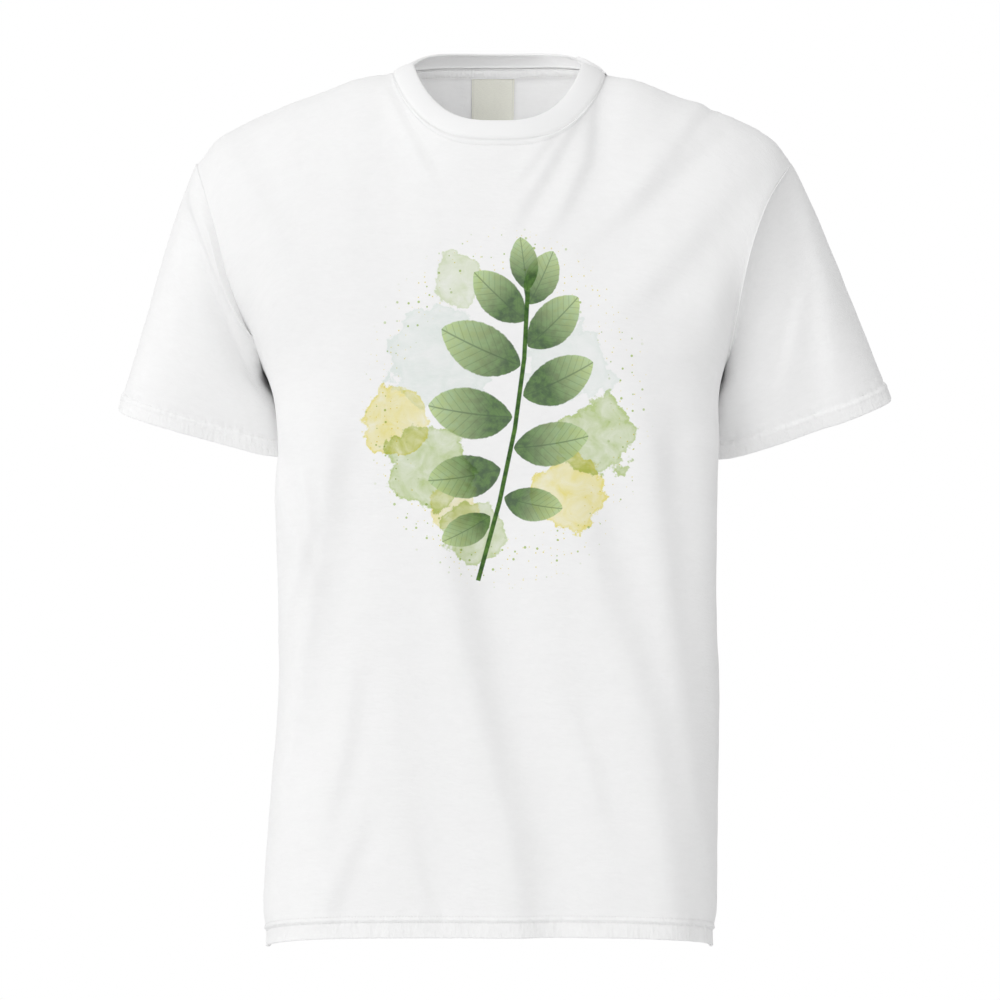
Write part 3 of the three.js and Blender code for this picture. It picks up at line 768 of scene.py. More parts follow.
def lining_sheet(inner, inwards, columns, distance):
    """Places on the inside of the back panel, and the way into the neck at each of them.

    Columns are the panel's own, counted with parts; distances go down from the neck seam.
    """
    number = np.arange(inner.shape[1])
    near, lifted = (
        np.stack([sampled(columns, number, row) for row in down_cloth(sheet, distance)])
        for sheet in (inner, inner + inwards)
    )
    return near, lifted - near


LINING_PLAY = 0.7
TAPE_CLOTH = 0.8
TAPE_SHORT = 1.4
TAPE_COLUMNS = 160
TAPE_ROWS = [0, 0.02, 0.07, 0.13, 0.2, 0.32, 0.5, 0.68, 0.8, 0.87, 0.93, 0.98, 1]
TAPE_STITCH_ROWS = (3, 9)
LABEL_GRID = (44, 56)
LABEL_BELOW_TAPE = 0.4
LABEL_CLOTH = 0.5
LABEL_MIDDLE = SHOULDER_COLUMNS + 0.4817 * NECK_COLUMNS
LABEL_HALF = 0.066 * NECK_COLUMNS


def tape_faces(inner, inwards):
    """The binding over the back neck seam: puffed between its two rows of stitches."""
    ends = SHOULDER_COLUMNS + TAPE_SHORT, SHOULDER_COLUMNS + NECK_COLUMNS - TAPE_SHORT
    columns = np.linspace(*ends, TAPE_COLUMNS)
    part = np.array(TAPE_ROWS)
    places, square = lining_sheet(inner, inwards, columns, TAPE_TOP + TAPE_WIDTH * (1 - part))
    part = part[:, None]
    sewn = sum(bell(part - TAPE_ROWS[row], 0.045) for row in TAPE_STITCH_ROWS)
    pucker = soft_waves(columns[None, :] * 4, part * 10, TAPE_SEED, 9, 60, 6)
    puff = TAPE_CLOTH * rim(np.minimum(part, 1 - part), 0.05) + 0.25 - 0.45 * sewn + 0.12 * pucker
    return places + square * (LINING_PLAY + puff)[..., None], places + square * LINING_PLAY


def label_faces(inner, inwards):
    """The woven label: it hangs from the binding with its lower corners curling a little."""
    columns = np.linspace(LABEL_MIDDLE - LABEL_HALF, LABEL_MIDDLE + LABEL_HALF, LABEL_GRID[0])
    top = TAPE_TOP + TAPE_WIDTH + LABEL_BELOW_TAPE
    part = np.linspace(0, 1, LABEL_GRID[1])[:, None]
    places, square = lining_sheet(inner, inwards, columns, top + LABEL_LENGTH * (1 - part[:, 0]))
    aside = np.linspace(-1, 1, LABEL_GRID[0])[None, :]
    curl = (1 - part) ** 2 * (1.0 + 1.2 * aside**2)
    curl = curl + 0.2 * soft_waves(aside * 19, part * LABEL_LENGTH, LABEL_SEED, 30, 30, 4)
    edge = rim(np.minimum(1 - np.abs(aside), 2 * np.minimum(part, 1 - part)), 0.03)
    far = places + square * (LINING_PLAY + curl)[..., None]
    return far + square * (LABEL_CLOTH * edge)[..., None], far


# ---------------------------------------------------------------- shader helpers


class Shading:
    """Short ways to add nodes to one node tree."""

    def __init__(self, tree):
        self.tree = tree

    def put(self, socket, value):
        if isinstance(value, bpy.types.NodeSocket):
            self.tree.links.new(value, socket)
        else:
            socket.default_value = value

    def node(self, kind, links=(), **settings):
        """Adds a node, sets it up, and fills its inputs with values or other nodes' outputs."""
        new = self.tree.nodes.new("ShaderNode" + kind)
        for name, value in settings.items():
            setattr(new, name, value)
        for key, value in dict(links).items():
            self.put(new.inputs[key], value)
        return new

    def maths(self, operation, *values, clamp=False):
        links = dict(enumerate(values))
        return self.node("Math", links, operation=operation, use_clamp=clamp).outputs[0]

    def plus(self, first, second):
        return self.maths("ADD", first, second)

    def less(self, first, second):
        return self.maths("SUBTRACT", first, second)

    def times(self, first, second):
        return self.maths("MULTIPLY", first, second)

    def over(self, first, second):
        return self.maths("DIVIDE", first, second)

    def times_plus(self, first, second, third):
        return self.maths("MULTIPLY_ADD", first, second, third)

    def most(self, first, second):
        return self.maths("MAXIMUM", first, second)

    def size(self, value):
        return self.maths("ABSOLUTE", value)

    def wave(self, turns):
        """A sine wave, one for each whole turn."""
        return self.maths("SINE", self.times(turns, 2 * math.pi))

    def vector_maths(self, operation, *values):
        done = self.node("VectorMath", dict(enumerate(values)), operation=operation)
        number = operation in ("DISTANCE", "LENGTH", "DOT_PRODUCT")
        return done.outputs["Value" if number else "Vector"]

    def apart(self, vector):
        return self.node("SeparateXYZ", {0: vector}).outputs

    def joined(self, *parts):
        return self.node("CombineXYZ", dict(enumerate(parts))).outputs[0]

    def mapped(self, vector, kind="POINT", **parts):
        """A vector moved, turned and scaled, or seen from such a place where the kind is TEXTURE."""
        return self.node("Mapping", {"Vector": vector, **parts}, vector_type=kind).outputs[0]

    def ramp(self, value, low, high, smooth=True):
        """0 below low, 1 above high, or the other way round where low is more than high."""
        kind = "SMOOTHSTEP" if smooth else "LINEAR"
        flip = low > high
        links = {0: value, 1: min(low, high), 2: max(low, high), 3: float(flip), 4: float(not flip)}
        return self.node("MapRange", links, interpolation_type=kind).outputs[0]

    def blend(self, share, under, over, kind="MIX"):
        mix = self.node("Mix", data_type="RGBA", blend_type=kind)
        for key, value in ((0, share), (6, under), (7, over)):
            self.put(mix.inputs[key], value)
        return mix.outputs[2]

    def noise(self, vector, scale, detail=2.0, roughness=0.5, distortion=0.0):
        links = {
            "Vector": vector, "Scale": scale, "Detail": detail, "Roughness": roughness,
            "Distortion": distortion,
        }
        return self.node("TexNoise", links).outputs["Fac"]

    def placed(self, group, **links):
        """Places a group, made by its own function, and returns its outputs."""
        return self.node("Group", links, node_tree=group()).outputs


def shader_group(name, outputs, **inputs):
    """Turns a function that fills a node group into one that makes the group once.

    An input's kind follows from its value: a tuple is a colour, None a vector, else a number.
    """

    def wrap(fill):
        def group():
            if name in bpy.data.node_groups:
                return bpy.data.node_groups[name]
            tree = bpy.data.node_groups.new(name, "ShaderNodeTree")
            for label, value in inputs.items():
                kind = "Vector" if value is None else "Color" if isinstance(value, tuple) else "Float"
                kind = "NodeSocket" + kind
                socket = tree.interface.new_socket(label, in_out="INPUT", socket_type=kind)
                if value is not None:
                    socket.default_value = value
            for label in outputs:
                kind = "NodeSocketColor" if label == "Colour" else "NodeSocketFloat"
                tree.interface.new_socket(label, in_out="OUTPUT", socket_type=kind)
            entry = tree.nodes.new("NodeGroupInput")
            leave = tree.nodes.new("NodeGroupOutput")
            for label, value in fill(Shading(tree), entry.outputs).items():
                tree.links.new(value, leave.inputs[label])
            return tree

        return group

    return wrap


# ---------------------------------------------------------------- shared shader groups


@shader_group("knit loops", ["Height", "Yarn"], Vector=None, Wale=0.9, Course=0.7, Slub=0.7)
def knit_group(shade, given):
    """Jersey seen close: columns of small loops, with thicker yarn here and there."""
    where = shade.apart(given["Vector"])
    column = shade.over(where[0], shade.times(given["Wale"], MM))
    row = shade.over(where[1], shade.times(given["Course"], MM))
    aside = shade.size(shade.maths("SINE", shade.times(column, math.pi)))
    leg = shade.wave(shade.plus(row, shade.maths("PINGPONG", column, 0.5)))
    loops = shade.times(aside, shade.times_plus(leg, 0.2, 0.8))
    stretched = shade.mapped(given["Vector"], Scale=(0.32, 1, 1))
    yarn = shade.noise(stretched, 420, 3, 0.55)
    lump = shade.noise(stretched, 130, 2, 0.5)
    slub = shade.times_plus(yarn, 0.6, shade.times(lump, 0.4))
    height = shade.node("Mix", {0: given["Slub"], 2: loops, 3: slub}).outputs[0]
    return {"Height": height, "Yarn": slub}


@shader_group("rib columns", ["Height", "Column"], Vector=None, Rib=1.3)
def rib_group(shade, given):
    """One-by-one rib: raised columns side by side, with the loops' own grain."""
    where = shade.apart(given["Vector"])
    column = shade.over(where[0], shade.times(given["Rib"], MM))
    wander = shade.times_plus(shade.noise(given["Vector"], 90, 1), 0.5, column)
    raised = shade.times_plus(shade.wave(wander), 0.5, 0.5)
    grain = shade.noise(given["Vector"], 900, 2)
    return {"Height": shade.times_plus(grain, 0.3, raised), "Column": raised}


@shader_group("hem puckers", ["Height"], Vector=None, Hem=0.013)
def pucker_group(shade, given):
    """Sewn hems: short creases square to the edge, which die out above the hem."""
    crease = shade.noise(shade.mapped(given["Vector"], Scale=(1, 0.22, 1)), 230, 2, 0.6)
    up = shade.apart(given["Vector"])[1]
    links = {0: up, 1: given["Hem"], 2: shade.times(given["Hem"], 1.9), 3: 1.0, 4: 0.0}
    near = shade.node("MapRange", links, interpolation_type="SMOOTHSTEP").outputs[0]
    return {"Height": shade.times(crease, near)}


@shader_group(
    "washed cotton", ["Colour"],
    Colour=(0.9, 0.9, 0.89, 1), Vector=None, Grain=0.5, Drift=0.03, Fleck=0.04,
)
def washed_tone_and_hollow_shade_group(shade, given):
    """Washed cotton: its colour drifts a little at random, and it is darker where the grain input is low;
    on the cloth, thread and label that input is their relief, so this is painted shade in its hollows,
    and on the floor it is plain random fleck.
    """
    drift = shade.noise(given["Vector"], 22, 3, 0.6)
    tone = shade.times_plus(drift, given["Drift"], shade.times(given["Drift"], -0.5))
    # The fleck term darkens the colour where the grain input is low: painted shade in the hollows of the
    # relief on cloth, thread and label, random fleck on the floor.
    fleck_and_hollow_shade = shade.times(shade.less(given["Grain"], 0.5), given["Fleck"])
    value = shade.plus(shade.plus(tone, fleck_and_hollow_shade), 1.0)
    links = {"Value": value, "Color": given["Colour"]}
    return {"Colour": shade.node("HueSaturation", links).outputs[0]}


@shader_group(
    "printed leaf", ["Mask", "Along", "Vein"],
    **{"Vector": None, "Base X": 0, "Base Z": 0, "Angle": 0, "Length": 50, "Width": 0.3, "Bend": 0},
)
def leaf_group(shade, given):
    """One printed leaf: its shape, how far along it is, and its veins."""
    place = shade.joined(given["Base X"], given["Base Z"])
    spin = shade.joined(0.0, 0.0, shade.maths("RADIANS", given["Angle"]))
    size = shade.joined(given["Length"], given["Length"], 1.0)
    local = shade.mapped(given["Vector"], "TEXTURE", Location=place, Rotation=spin, Scale=size)
    where = shade.apart(local)
    along = where[0]
    aside = shade.less(where[1], shade.times(shade.times(along, along), given["Bend"]))
    wobble = shade.times_plus(shade.noise(given["Vector"], 0.25, 2), 0.03, -0.015)
    inside = shade.times(along, shade.less(1.0, along))
    outline = shade.maths("POWER", shade.most(inside, 0.0), 0.72)
    half = shade.times(outline, shade.times(given["Width"], 2.7))
    spare = shade.less(shade.plus(half, wobble), shade.size(aside))
    live = shade.times(shade.ramp(spare, 0.0, 0.018), shade.maths("GREATER_THAN", inside, 0.0))
    middle_vein = shade.ramp(shade.size(aside), 0.014, 0.004)
    slant = shade.less(along, shade.times(shade.size(aside), 0.9))
    beat = shade.maths("SINE", shade.times(slant, 2 * math.pi * 9))
    side_vein = shade.times(shade.ramp(beat, 0.86, 0.98), 0.5)
    vein = shade.times(shade.most(middle_vein, side_vein), live)
    return {"Mask": live, "Along": along, "Vein": vein}


@shader_group(
    "watercolour blot", ["Mask"], **{"Vector": None, "Centre X": 0, "Centre Z": 0, "Radius": 30}
)
def blot_group(shade, given):
    """A watercolour blot: uneven inside, with a ragged outline where the paint gathered."""
    centre = shade.joined(given["Centre X"], given["Centre Z"])
    share = shade.over(shade.vector_maths("DISTANCE", given["Vector"], centre), given["Radius"])
    ragged = shade.less(shade.noise(given["Vector"], 0.035, 5, 0.6), 0.5)
    reach = shade.times_plus(ragged, 1.6, share)
    inside = shade.ramp(reach, 1.0, 0.93)
    rim_line = shade.ramp(reach, 0.8, 1.0)
    pool = shade.noise(given["Vector"], 0.06, 4, 0.6, 0.6)
    body = shade.times_plus(pool, 1.35, shade.times_plus(rim_line, 0.35, 0.0))
    return {"Mask": shade.maths("MULTIPLY", inside, body, clamp=True)}


# ---------------------------------------------------------------- the print

# Leaves of the sprig: where each joins the stem (x, z), its angle from +X, its length, its width
# as a share of that, and how far it bends.
LEAF_FACTS = ("Base X", "Base Z", "Angle", "Length", "Width", "Bend")
SPRIG_LEAVES = [
    (-4, -392, 214, 46, 0.30, -0.10), (8, -376, -18, 50, 0.30, 0.12), (5, -352, 196, 62, 0.31, -0.12),
    (16, -334, 2, 64, 0.30, 0.12), (15, -308, 178, 72, 0.31, -0.10), (24, -290, 20, 66, 0.30, 0.10),
    (22, -264, 160, 74, 0.30, -0.08), (28, -248, 40, 60, 0.30, 0.08), (26, -226, 140, 60, 0.29, -0.06),
    (29, -212, 62, 50, 0.29, 0.06), (28, -200, 98, 46, 0.27, 0.0),
]
SPRIG_STEM = [(-14, -446), (4, -380), (17, -318), (25, -258), (28, -200)]
STEM_HALF_WIDTH = (2.2, 1.6)
# Blots of wash: centre (x, z), radius, which paint and how strong.
PRINT_BLOTS = [
    (-48, -262, 44, "mist", 0.85), (64, -262, 36, "mist", 0.7), (-56, -352, 37, "wash", 0.95),
    (-18, -404, 28, "wash", 0.9), (86, -324, 34, "wash", 0.95), (62, -372, 32, "sun", 1.0),
    (-84, -310, 29, "sun", 1.0), (-30, -190, 23, "wash", 0.6), (-34, -384, 22, "sun", 0.7),
]
# Spattered drops: how close they lie, smallest and largest, which paint, how far they are moved.
SPATTER = [(0.11, 0.16, 0.24, "wash", 0.0), (0.17, 0.13, 0.2, "sun", 40.0)]
SPATTER_MIDDLE = (10, -300, 0)


def print_colour(shade, cloth, paints):
    """The cloth's colour with the leafy print on it, placed by the panel's own coordinates."""
    metres = shade.apart(shade.node("TexCoord").outputs["Object"])
    where = shade.joined(shade.over(metres[0], MM), shade.over(metres[2], MM))
    colour = cloth
    for centre_x, centre_z, radius, paint, strength in PRINT_BLOTS:
        links = {"Vector": where, "Centre X": centre_x, "Centre Z": centre_z, "Radius": radius}
        mask = shade.placed(blot_group, **links)["Mask"]
        share = shade.maths("MULTIPLY", mask, strength, clamp=True)
        colour = shade.blend(share, colour, paints[paint], "MULTIPLY")
    colour = spatter(shade, where, colour, paints)
    stem = 0.0
    for start, end in zip(SPRIG_STEM, SPRIG_STEM[1:]):
        stem = shade.most(stem, stem_line(shade, where, start, end))
    tone = shade.noise(where, 0.12, 4, 0.6)
    dark = shade.blend(shade.ramp(tone, 0.35, 0.65), paints["leaf"], paints["leaf_dark"])
    pale = shade.blend(shade.ramp(tone, 0.3, 0.7), paints["leaf_pale"], paints["wash"])
    colour = shade.blend(stem, colour, dark)
    for number, facts in enumerate(SPRIG_LEAVES):
        leaf = shade.placed(leaf_group, Vector=where, **dict(zip(LEAF_FACTS, facts)))
        depth = shade.ramp(leaf["Along"], 0.15 + 0.1 * (number % 3), 0.95, smooth=False)
        paint = shade.blend(depth, dark, pale)
        paint = shade.blend(shade.times(leaf["Vein"], 0.55), paint, paints["leaf_dark"])
        colour = shade.blend(shade.times(leaf["Mask"], 0.93), colour, paint)
    return colour


def stem_line(shade, where, start, end):
    """Mask of one length of the stem."""
    length = math.dist(start, end)
    angle = math.atan2(end[1] - start[1], end[0] - start[0])
    local = shade.apart(shade.mapped(where, "TEXTURE", Location=(*start, 0), Rotation=(0, 0, angle)))
    past = shade.less(shade.size(shade.less(local[0], length / 2)), length / 2 + 0.6)
    near = shade.ramp(shade.size(local[1]), *STEM_HALF_WIDTH)
    return shade.times(near, shade.ramp(past, 0.6, 0.0))


def spatter(shade, where, colour, paints):
    """Small drops of paint in a ring round the sprig."""
    for scale, low, high, paint, shift in SPATTER:
        moved = shade.vector_maths("ADD", where, (shift, shift, 0))
        cells = shade.node("TexVoronoi", {"Vector": moved, "Scale": scale}, voronoi_dimensions="2D")
        pick = shade.node("SeparateColor", {0: cells.outputs["Color"]}).outputs
        size = shade.times_plus(pick[1], high - low, low * 0.3)
        drop = shade.ramp(shade.less(cells.outputs["Distance"], size), 0.02, -0.02)
        chosen = shade.maths("GREATER_THAN", pick[0], 0.62)
        away = shade.vector_maths("SUBTRACT", where, SPATTER_MIDDLE)
        far = shade.vector_maths("LENGTH", shade.vector_maths("MULTIPLY", away, (1, 0.8, 0)))
        ring = shade.times(shade.ramp(far, 84, 96), shade.ramp(far, 128, 112))
        share = shade.times(shade.times(drop, chosen), ring)
        colour = shade.blend(share, colour, paints[paint], "MULTIPLY")
    return colour


# ---------------------------------------------------------------- materials


def new_material(name, roughness, sheen=0.0, specular=0.25):
    material = bpy.data.materials.new(name)
    material.use_nodes = True
    surface = material.node_tree.nodes["Principled BSDF"]
    values = {
        "Roughness": roughness, "Specular IOR Level": specular, "Sheen Weight": sheen,
        "Sheen Roughness": 0.6, "Subsurface Weight": 0.25, "Subsurface Radius": (1, 1, 1),
        "Subsurface Scale": 0.003,
    }
    for label, value in values.items():
        surface.inputs[label].default_value = value
    return material, Shading(material.node_tree), surface


# Colour with a little random drift, darkened as painted shade where the given grain, the surface's
# relief, is low.
def washed(shade, colour, vector, grain, **shares):
    links = {"Colour": (*colour, 1), "Vector": vector, "Grain": grain, **shares}
    return shade.placed(washed_tone_and_hollow_shade_group, **links)["Colour"]


def paint_surface(shade, surface, colour, height, deep, strength):
    """Gives a surface its colour and its relief, which is so many millimetres deep."""
    shade.put(surface.inputs["Base Color"], colour)
    links = {"Height": height, "Distance": deep * MM, "Strength": strength}
    shade.put(surface.inputs["Normal"], shade.node("Bump", links).outputs[0])


def cloth_map(shade):
    return shade.node("UVMap", uv_map="cloth").outputs[0]


def jersey_material(cloth, name="washed jersey", paints=None):
    if name in bpy.data.materials:
        return bpy.data.materials[name]
    material, shade, surface = new_material(name, 0.93, sheen=0.08)
    vector = cloth_map(shade)
    wale = cloth.wale / MM
    knit = shade.placed(knit_group, Vector=vector, Wale=wale, Course=wale * 0.8, Slub=cloth.slub)
    # Painted shade: the colour is darkened in the hollows of the knit's yarn relief.
    colour = washed(shade, cloth.jersey_colour, vector, knit["Yarn"], Fleck=0.07)
    if paints:
        colour = print_colour(shade, colour, paints)
    puckers = shade.placed(pucker_group, Vector=vector, Hem=0.72 * BODY_HEM * MM)["Height"]
    height = shade.times_plus(puckers, cloth.puckers, knit["Height"])
    paint_surface(shade, surface, colour, height, 0.5, cloth.grain)
    return material


def rib_material(cloth):
    material, shade, surface = new_material("ribbed cotton", 0.9, sheen=0.08)
    vector = cloth_map(shade)
    rib = shade.placed(rib_group, Vector=vector, Rib=cloth.rib / MM)
    # Painted shade: the colour is darkened in the grooves between the raised rib columns.
    colour = washed(shade, cloth.rib_colour, vector, rib["Column"], Fleck=0.035)
    paint_surface(shade, surface, colour, rib["Height"], 0.3, 0.4)
    return material


def thread_material(stitches):
    if "cotton thread" in bpy.data.materials:
        return bpy.data.materials["cotton thread"]
    material, shade, surface = new_material("cotton thread", 0.7, sheen=0.05, specular=0.35)
    place = shade.node("TexCoord").outputs["Object"]
    ply = shade.noise(place, 2500, 2)
    # Painted shade: the colour is darkened in the hollows of the thread's ply relief.
    colour = washed(shade, stitches.colour, place, ply, Fleck=0.08)
    paint_surface(shade, surface, colour, ply, 0.1, 0.5)
    return material


def label_material(label):
    """Damask: fine crossing threads in two close tones, which are painted shade darker where the weave's
    relief is low, with a woven border line.
    """
    material, shade, surface = new_material("woven damask", 0.75, sheen=0.05, specular=0.35)
    vector = cloth_map(shade)
    where = shade.apart(vector)
    across = shade.maths("SINE", shade.times(where[0], 2 * math.pi / (0.32 * MM)))
    up = shade.maths("SINE", shade.times(where[1], 2 * math.pi / (0.42 * MM)))
    weave = shade.times_plus(shade.times(across, up), 0.5, 0.5)
    yarn = shade.noise(shade.mapped(vector, Scale=(0.15, 1, 1)), 2600, 2)
    tone = shade.times_plus(yarn, 0.6, shade.times(weave, 0.4))
    # Painted shade: the colour is darkened where the weave's relief is low.
    colour = washed(shade, label.colour, vector, tone, Fleck=0.3)
    from_border = shade.size(shade.less(shade.size(where[0]), LABEL_BORDER * MM))
    border = shade.ramp(from_border, 0.5 * MM, 0.2 * MM)
    darker = tuple(0.72 * part for part in label.colour)
    colour = shade.blend(shade.times(border, 0.35), colour, (*darker, 1))
    paint_surface(shade, surface, colour, tone, 0.12, 0.6)
    return material


def floor_material(stage):
    """The floor's finish: it fades out towards its edge."""
    material, shade, surface = new_material("pale floor", 0.9)
    place = shade.node("TexCoord").outputs["Object"]
    drift = shade.noise(place, 3, 3)
    colour = washed(shade, stage.floor_colour, place, drift, Drift=0.01, Fleck=0.01)
    shade.put(surface.inputs["Base Color"], colour)
    away = shade.vector_maths("LENGTH", place)
    alpha = shade.ramp(away, stage.floor_radius, 0.5 * stage.floor_radius)
    shade.put(surface.inputs["Alpha"], alpha)
    return material


# ---------------------------------------------------------------- settings


def length_property(name, description, default, low, high):
    return bpy.props.FloatProperty(
        name=name, description=description, default=default, min=low, max=high, unit="LENGTH", precision=5
    )


def power_property(name, description, default):
    return bpy.props.FloatProperty(
        name=name, description=description, default=default, min=0, unit="POWER"
    )


def colour_property(name, description, default):
    return bpy.props.FloatVectorProperty(
        name=name, description=description, default=default, min=0, max=1, size=3, subtype="COLOR"
    )


def share_property(name, description, default, high=2.0):
    return bpy.props.FloatProperty(
        name=name, description=description, default=default, min=0, max=high, subtype="FACTOR"
    )


class ShirtCloth(bpy.types.PropertyGroup):
    """Sizes and colours of the jersey and the rib."""

    thickness: length_property("Jersey thickness", "One layer of jersey", 0.0009, 0.0004, 0.002)
    wrinkles: share_property("Wrinkles", "How strongly the small folds show", 1.0)
    wale: length_property("Wale", "Distance between two columns of loops", 0.0009, 0.0004, 0.003)
    slub: share_property("Slub", "Share of uneven yarn in the surface, against even loops", 0.88, 1.0)
    grain: share_property("Grain", "Strength of the knit's relief", 1.15)
    puckers: share_property("Puckers", "Strength of the small creases along the sewn hems", 3.0, 8.0)
    jersey_colour: colour_property("Jersey colour", "Colour of the washed jersey", (0.905, 0.905, 0.905))
    rib: length_property("Rib", "Distance between two ribs of the collar", 0.0013, 0.0006, 0.004)
    rib_colour: colour_property("Rib colour", "Colour of the collar", (0.905, 0.905, 0.905))


class ShirtStitches(bpy.types.PropertyGroup):
    """Sizes and colour of the sewing thread."""

    length: length_property("Stitch length", "Visible length of one stitch", 0.0021, 0.001, 0.006)
    pitch: length_property("Stitch pitch", "Distance from one stitch to the next", 0.0027, 0.0012, 0.007)
    thickness: length_property("Thread", "Thickness of the thread", 0.0005, 0.0002, 0.002)
    colour: colour_property("Thread colour", "Colour of the thread", (0.86, 0.86, 0.86))


class ShirtPrint(bpy.types.PropertyGroup):
    """Paints of the leafy print on the chest."""

    leaf: colour_property("Leaf", "Middle green of the leaves and the stem", (0.09, 0.2, 0.035))
    leaf_dark: colour_property("Leaf shade", "Dark green of the veins", (0.03, 0.085, 0.018))
    leaf_pale: colour_property("Leaf tip", "Pale green towards the leaf tips", (0.46, 0.6, 0.34))
    mist: colour_property("Mist", "Pale grey green of the soft wash", (0.8, 0.87, 0.83))
    wash: colour_property("Green wash", "Yellow green of the wash", (0.5, 0.62, 0.26))
    sun: colour_property("Yellow wash", "Yellow of the wash", (0.87, 0.78, 0.26))


class ShirtLabel(bpy.types.PropertyGroup):
    """Colour of the blank woven label."""

    colour: colour_property("Label colour", "Colour of the blank label", (0.87, 0.87, 0.77))


class ShirtStage(bpy.types.PropertyGroup):
    """The floor, the lights and the camera."""

    floor_drop: length_property("Floor drop", "Height of the floor below the hem", 0.42, 0.0, 2.0)
    floor_radius: length_property("Floor radius", "Radius of the round floor", 2.6, 0.5, 6.0)
    floor_colour: colour_property("Floor colour", "Colour of the floor", (0.92, 0.92, 0.92))
    key: power_property("Key light", "Power of the large light to the upper left", 20)
    fill: power_property("Fill light", "Power of the light to the right", 4)
    neck: power_property("Neck light", "Power of the small light inside the neck", 0.055)
    surround: share_property("Surround", "Brightness of the room's soft light", 0.7)
    lean: share_property("Lean", "How much brighter the room is to the upper left", 0.36)
    camera_distance: length_property("Camera distance", "From the middle of the shirt", 4.5, 1.0, 12.0)


# ---------------------------------------------------------------- operators


def settle(piece, node):
    """Hides the frame node that a piece of cloth stands for and attaches the piece to the root."""
    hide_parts(node)
    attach(piece, "root")


class MakesPiece:
    bl_options = {"REGISTER", "UNDO"}


class SHIRT_OT_panels(MakesPiece, bpy.types.Operator):
    """Makes the front and back panels with their folds and turned-up hems"""

    bl_idname = "shirt.panels"
    bl_label = "Front and back panels"

    def execute(self, context):
        cloth = context.scene.shirt_cloth
        paints = context.scene.shirt_print
        colours = {
            name: (*getattr(paints, name), 1)
            for name in ("leaf", "leaf_dark", "leaf_pale", "mist", "wash", "sun")
        }
        plain = jersey_material(cloth)
        printed = jersey_material(cloth, "printed jersey", colours)
        for half, materials, area in (("front", [printed, plain], 0.40), ("back", [plain], 0.40)):
            sheet = panel_sheet(half, cloth.wrinkles)
            outer, inner = hemmed_faces(sheet, cloth.thickness / MM)
            piece = cloth_object(half + "_cloth", outer, inner, materials, **sheet["way"])
            normals = grid_normals(sheet["points"], **sheet["way"])
            heights = [BODY_HEM - low for low in STITCHES_LOW]
            grids = [grid[:, 1:-1] for grid in (sheet["points"], sheet["to_hem"], normals)]
            stitches = hem_stitches(context, half + "_hem_stitches", sewn_rows(*grids, heights))
            settle(piece, half + "_panel")
        return {"FINISHED"}


class SHIRT_OT_sleeves(MakesPiece, bpy.types.Operator):
    """Makes both sleeves with their folds and hems"""

    bl_idname = "shirt.sleeves"
    bl_label = "Sleeves"

    def execute(self, context):
        cloth = context.scene.shirt_cloth
        for side, area in (("left", 0.066), ("right", 0.07)):
            sheet = sleeve_sheet(side, cloth.wrinkles)
            outer, inner = hemmed_faces(sheet, cloth.thickness / MM)
            materials = [jersey_material(cloth)]
            name = side + "_sleeve_cloth"
            piece = cloth_object(name, outer, inner, materials, hem_last=True, **sheet["way"])
            normals = grid_normals(outer, **sheet["way"])
            heights = [SLEEVE_HEM - low for low in STITCHES_LOW]
            grids = (outer, sheet["to_hem"], normals)
            whole = [np.concatenate([grid, grid[:, :1]], 1) for grid in grids]
            stitches = hem_stitches(context, side + "_sleeve_stitches", sewn_rows(*whole, heights))
            settle(piece, side + "_sleeve")
        return {"FINISHED"}


class SHIRT_OT_collar(MakesPiece, bpy.types.Operator):
    """Makes the ribbed collar and the stitches that hold it"""

    bl_idname = "shirt.collar"
    bl_label = "Collar"

    def execute(self, context):
        cloth = context.scene.shirt_cloth
        sheet = collar_sheet()
        rounding = rim(sheet["to_edge"], 1.6)
        outer, inner = two_faces(sheet["points"], RIB_CLOTH, rounding, closed=True)
        piece = cloth_object("collar_rib", outer, inner, [rib_material(cloth)], closed=True)
        rows = []
        for half in ("front", "back"):
            panel = panel_sheet(half, cloth.wrinkles)
            neck = np.abs(panel["u"]) <= NECK_SHARE + TINY
            normals = grid_normals(panel["points"], **panel["way"])
            grids = [grid[:, neck] for grid in (panel["points"], panel["to_top"], normals)]
            rows += sewn_rows(*grids, [NECK_STITCH])
        stitches = hem_stitches(context, "collar_stitches", rows)
        settle(piece, "rib_collar")
        return {"FINISHED"}


class SHIRT_OT_neck_lining(MakesPiece, bpy.types.Operator):
    """Makes the back neck binding and the blank label under it"""

    bl_idname = "shirt.neck_lining"
    bl_label = "Neck binding and label"

    def execute(self, context):
        cloth = context.scene.shirt_cloth
        sheet = panel_sheet("back", cloth.wrinkles)
        _, inner = hemmed_faces(sheet, cloth.thickness / MM)
        inwards = -grid_normals(sheet["points"], flip=True)
        near, far = tape_faces(inner, inwards)
        material = jersey_material(cloth, "binding jersey")
        tape = cloth_object("neck_binding", near, far, [material])
        square = grid_normals(near)
        rows = [(near[row], square[row]) for row in TAPE_STITCH_ROWS]
        stitches = hem_stitches(context, "binding_stitches", rows)
        settle(tape, "neck_tape")
        near, far = label_faces(inner, inwards)
        label = cloth_object("neck_label_cloth", near, far, [label_material(context.scene.shirt_label)])
        settle(label, "neck_label")
        return {"FINISHED"}


class SHIRT_OT_stage(MakesPiece, bpy.types.Operator):
    """Makes the pale floor, the room's light, the studio lights and the camera"""

    bl_idname = "shirt.stage"
    bl_label = "Floor, lights and camera"

    def execute(self, context):
        stage = context.scene.shirt_stage
        lay_floor(stage)
        for name, size, place, target in LIGHTS:
            area_light(name + "_light", getattr(stage, name), size, place, target)
        place_camera(stage)
        surround_with_light(stage)
        context.scene.view_settings.view_transform = "Standard"
        return {"FINISHED"}


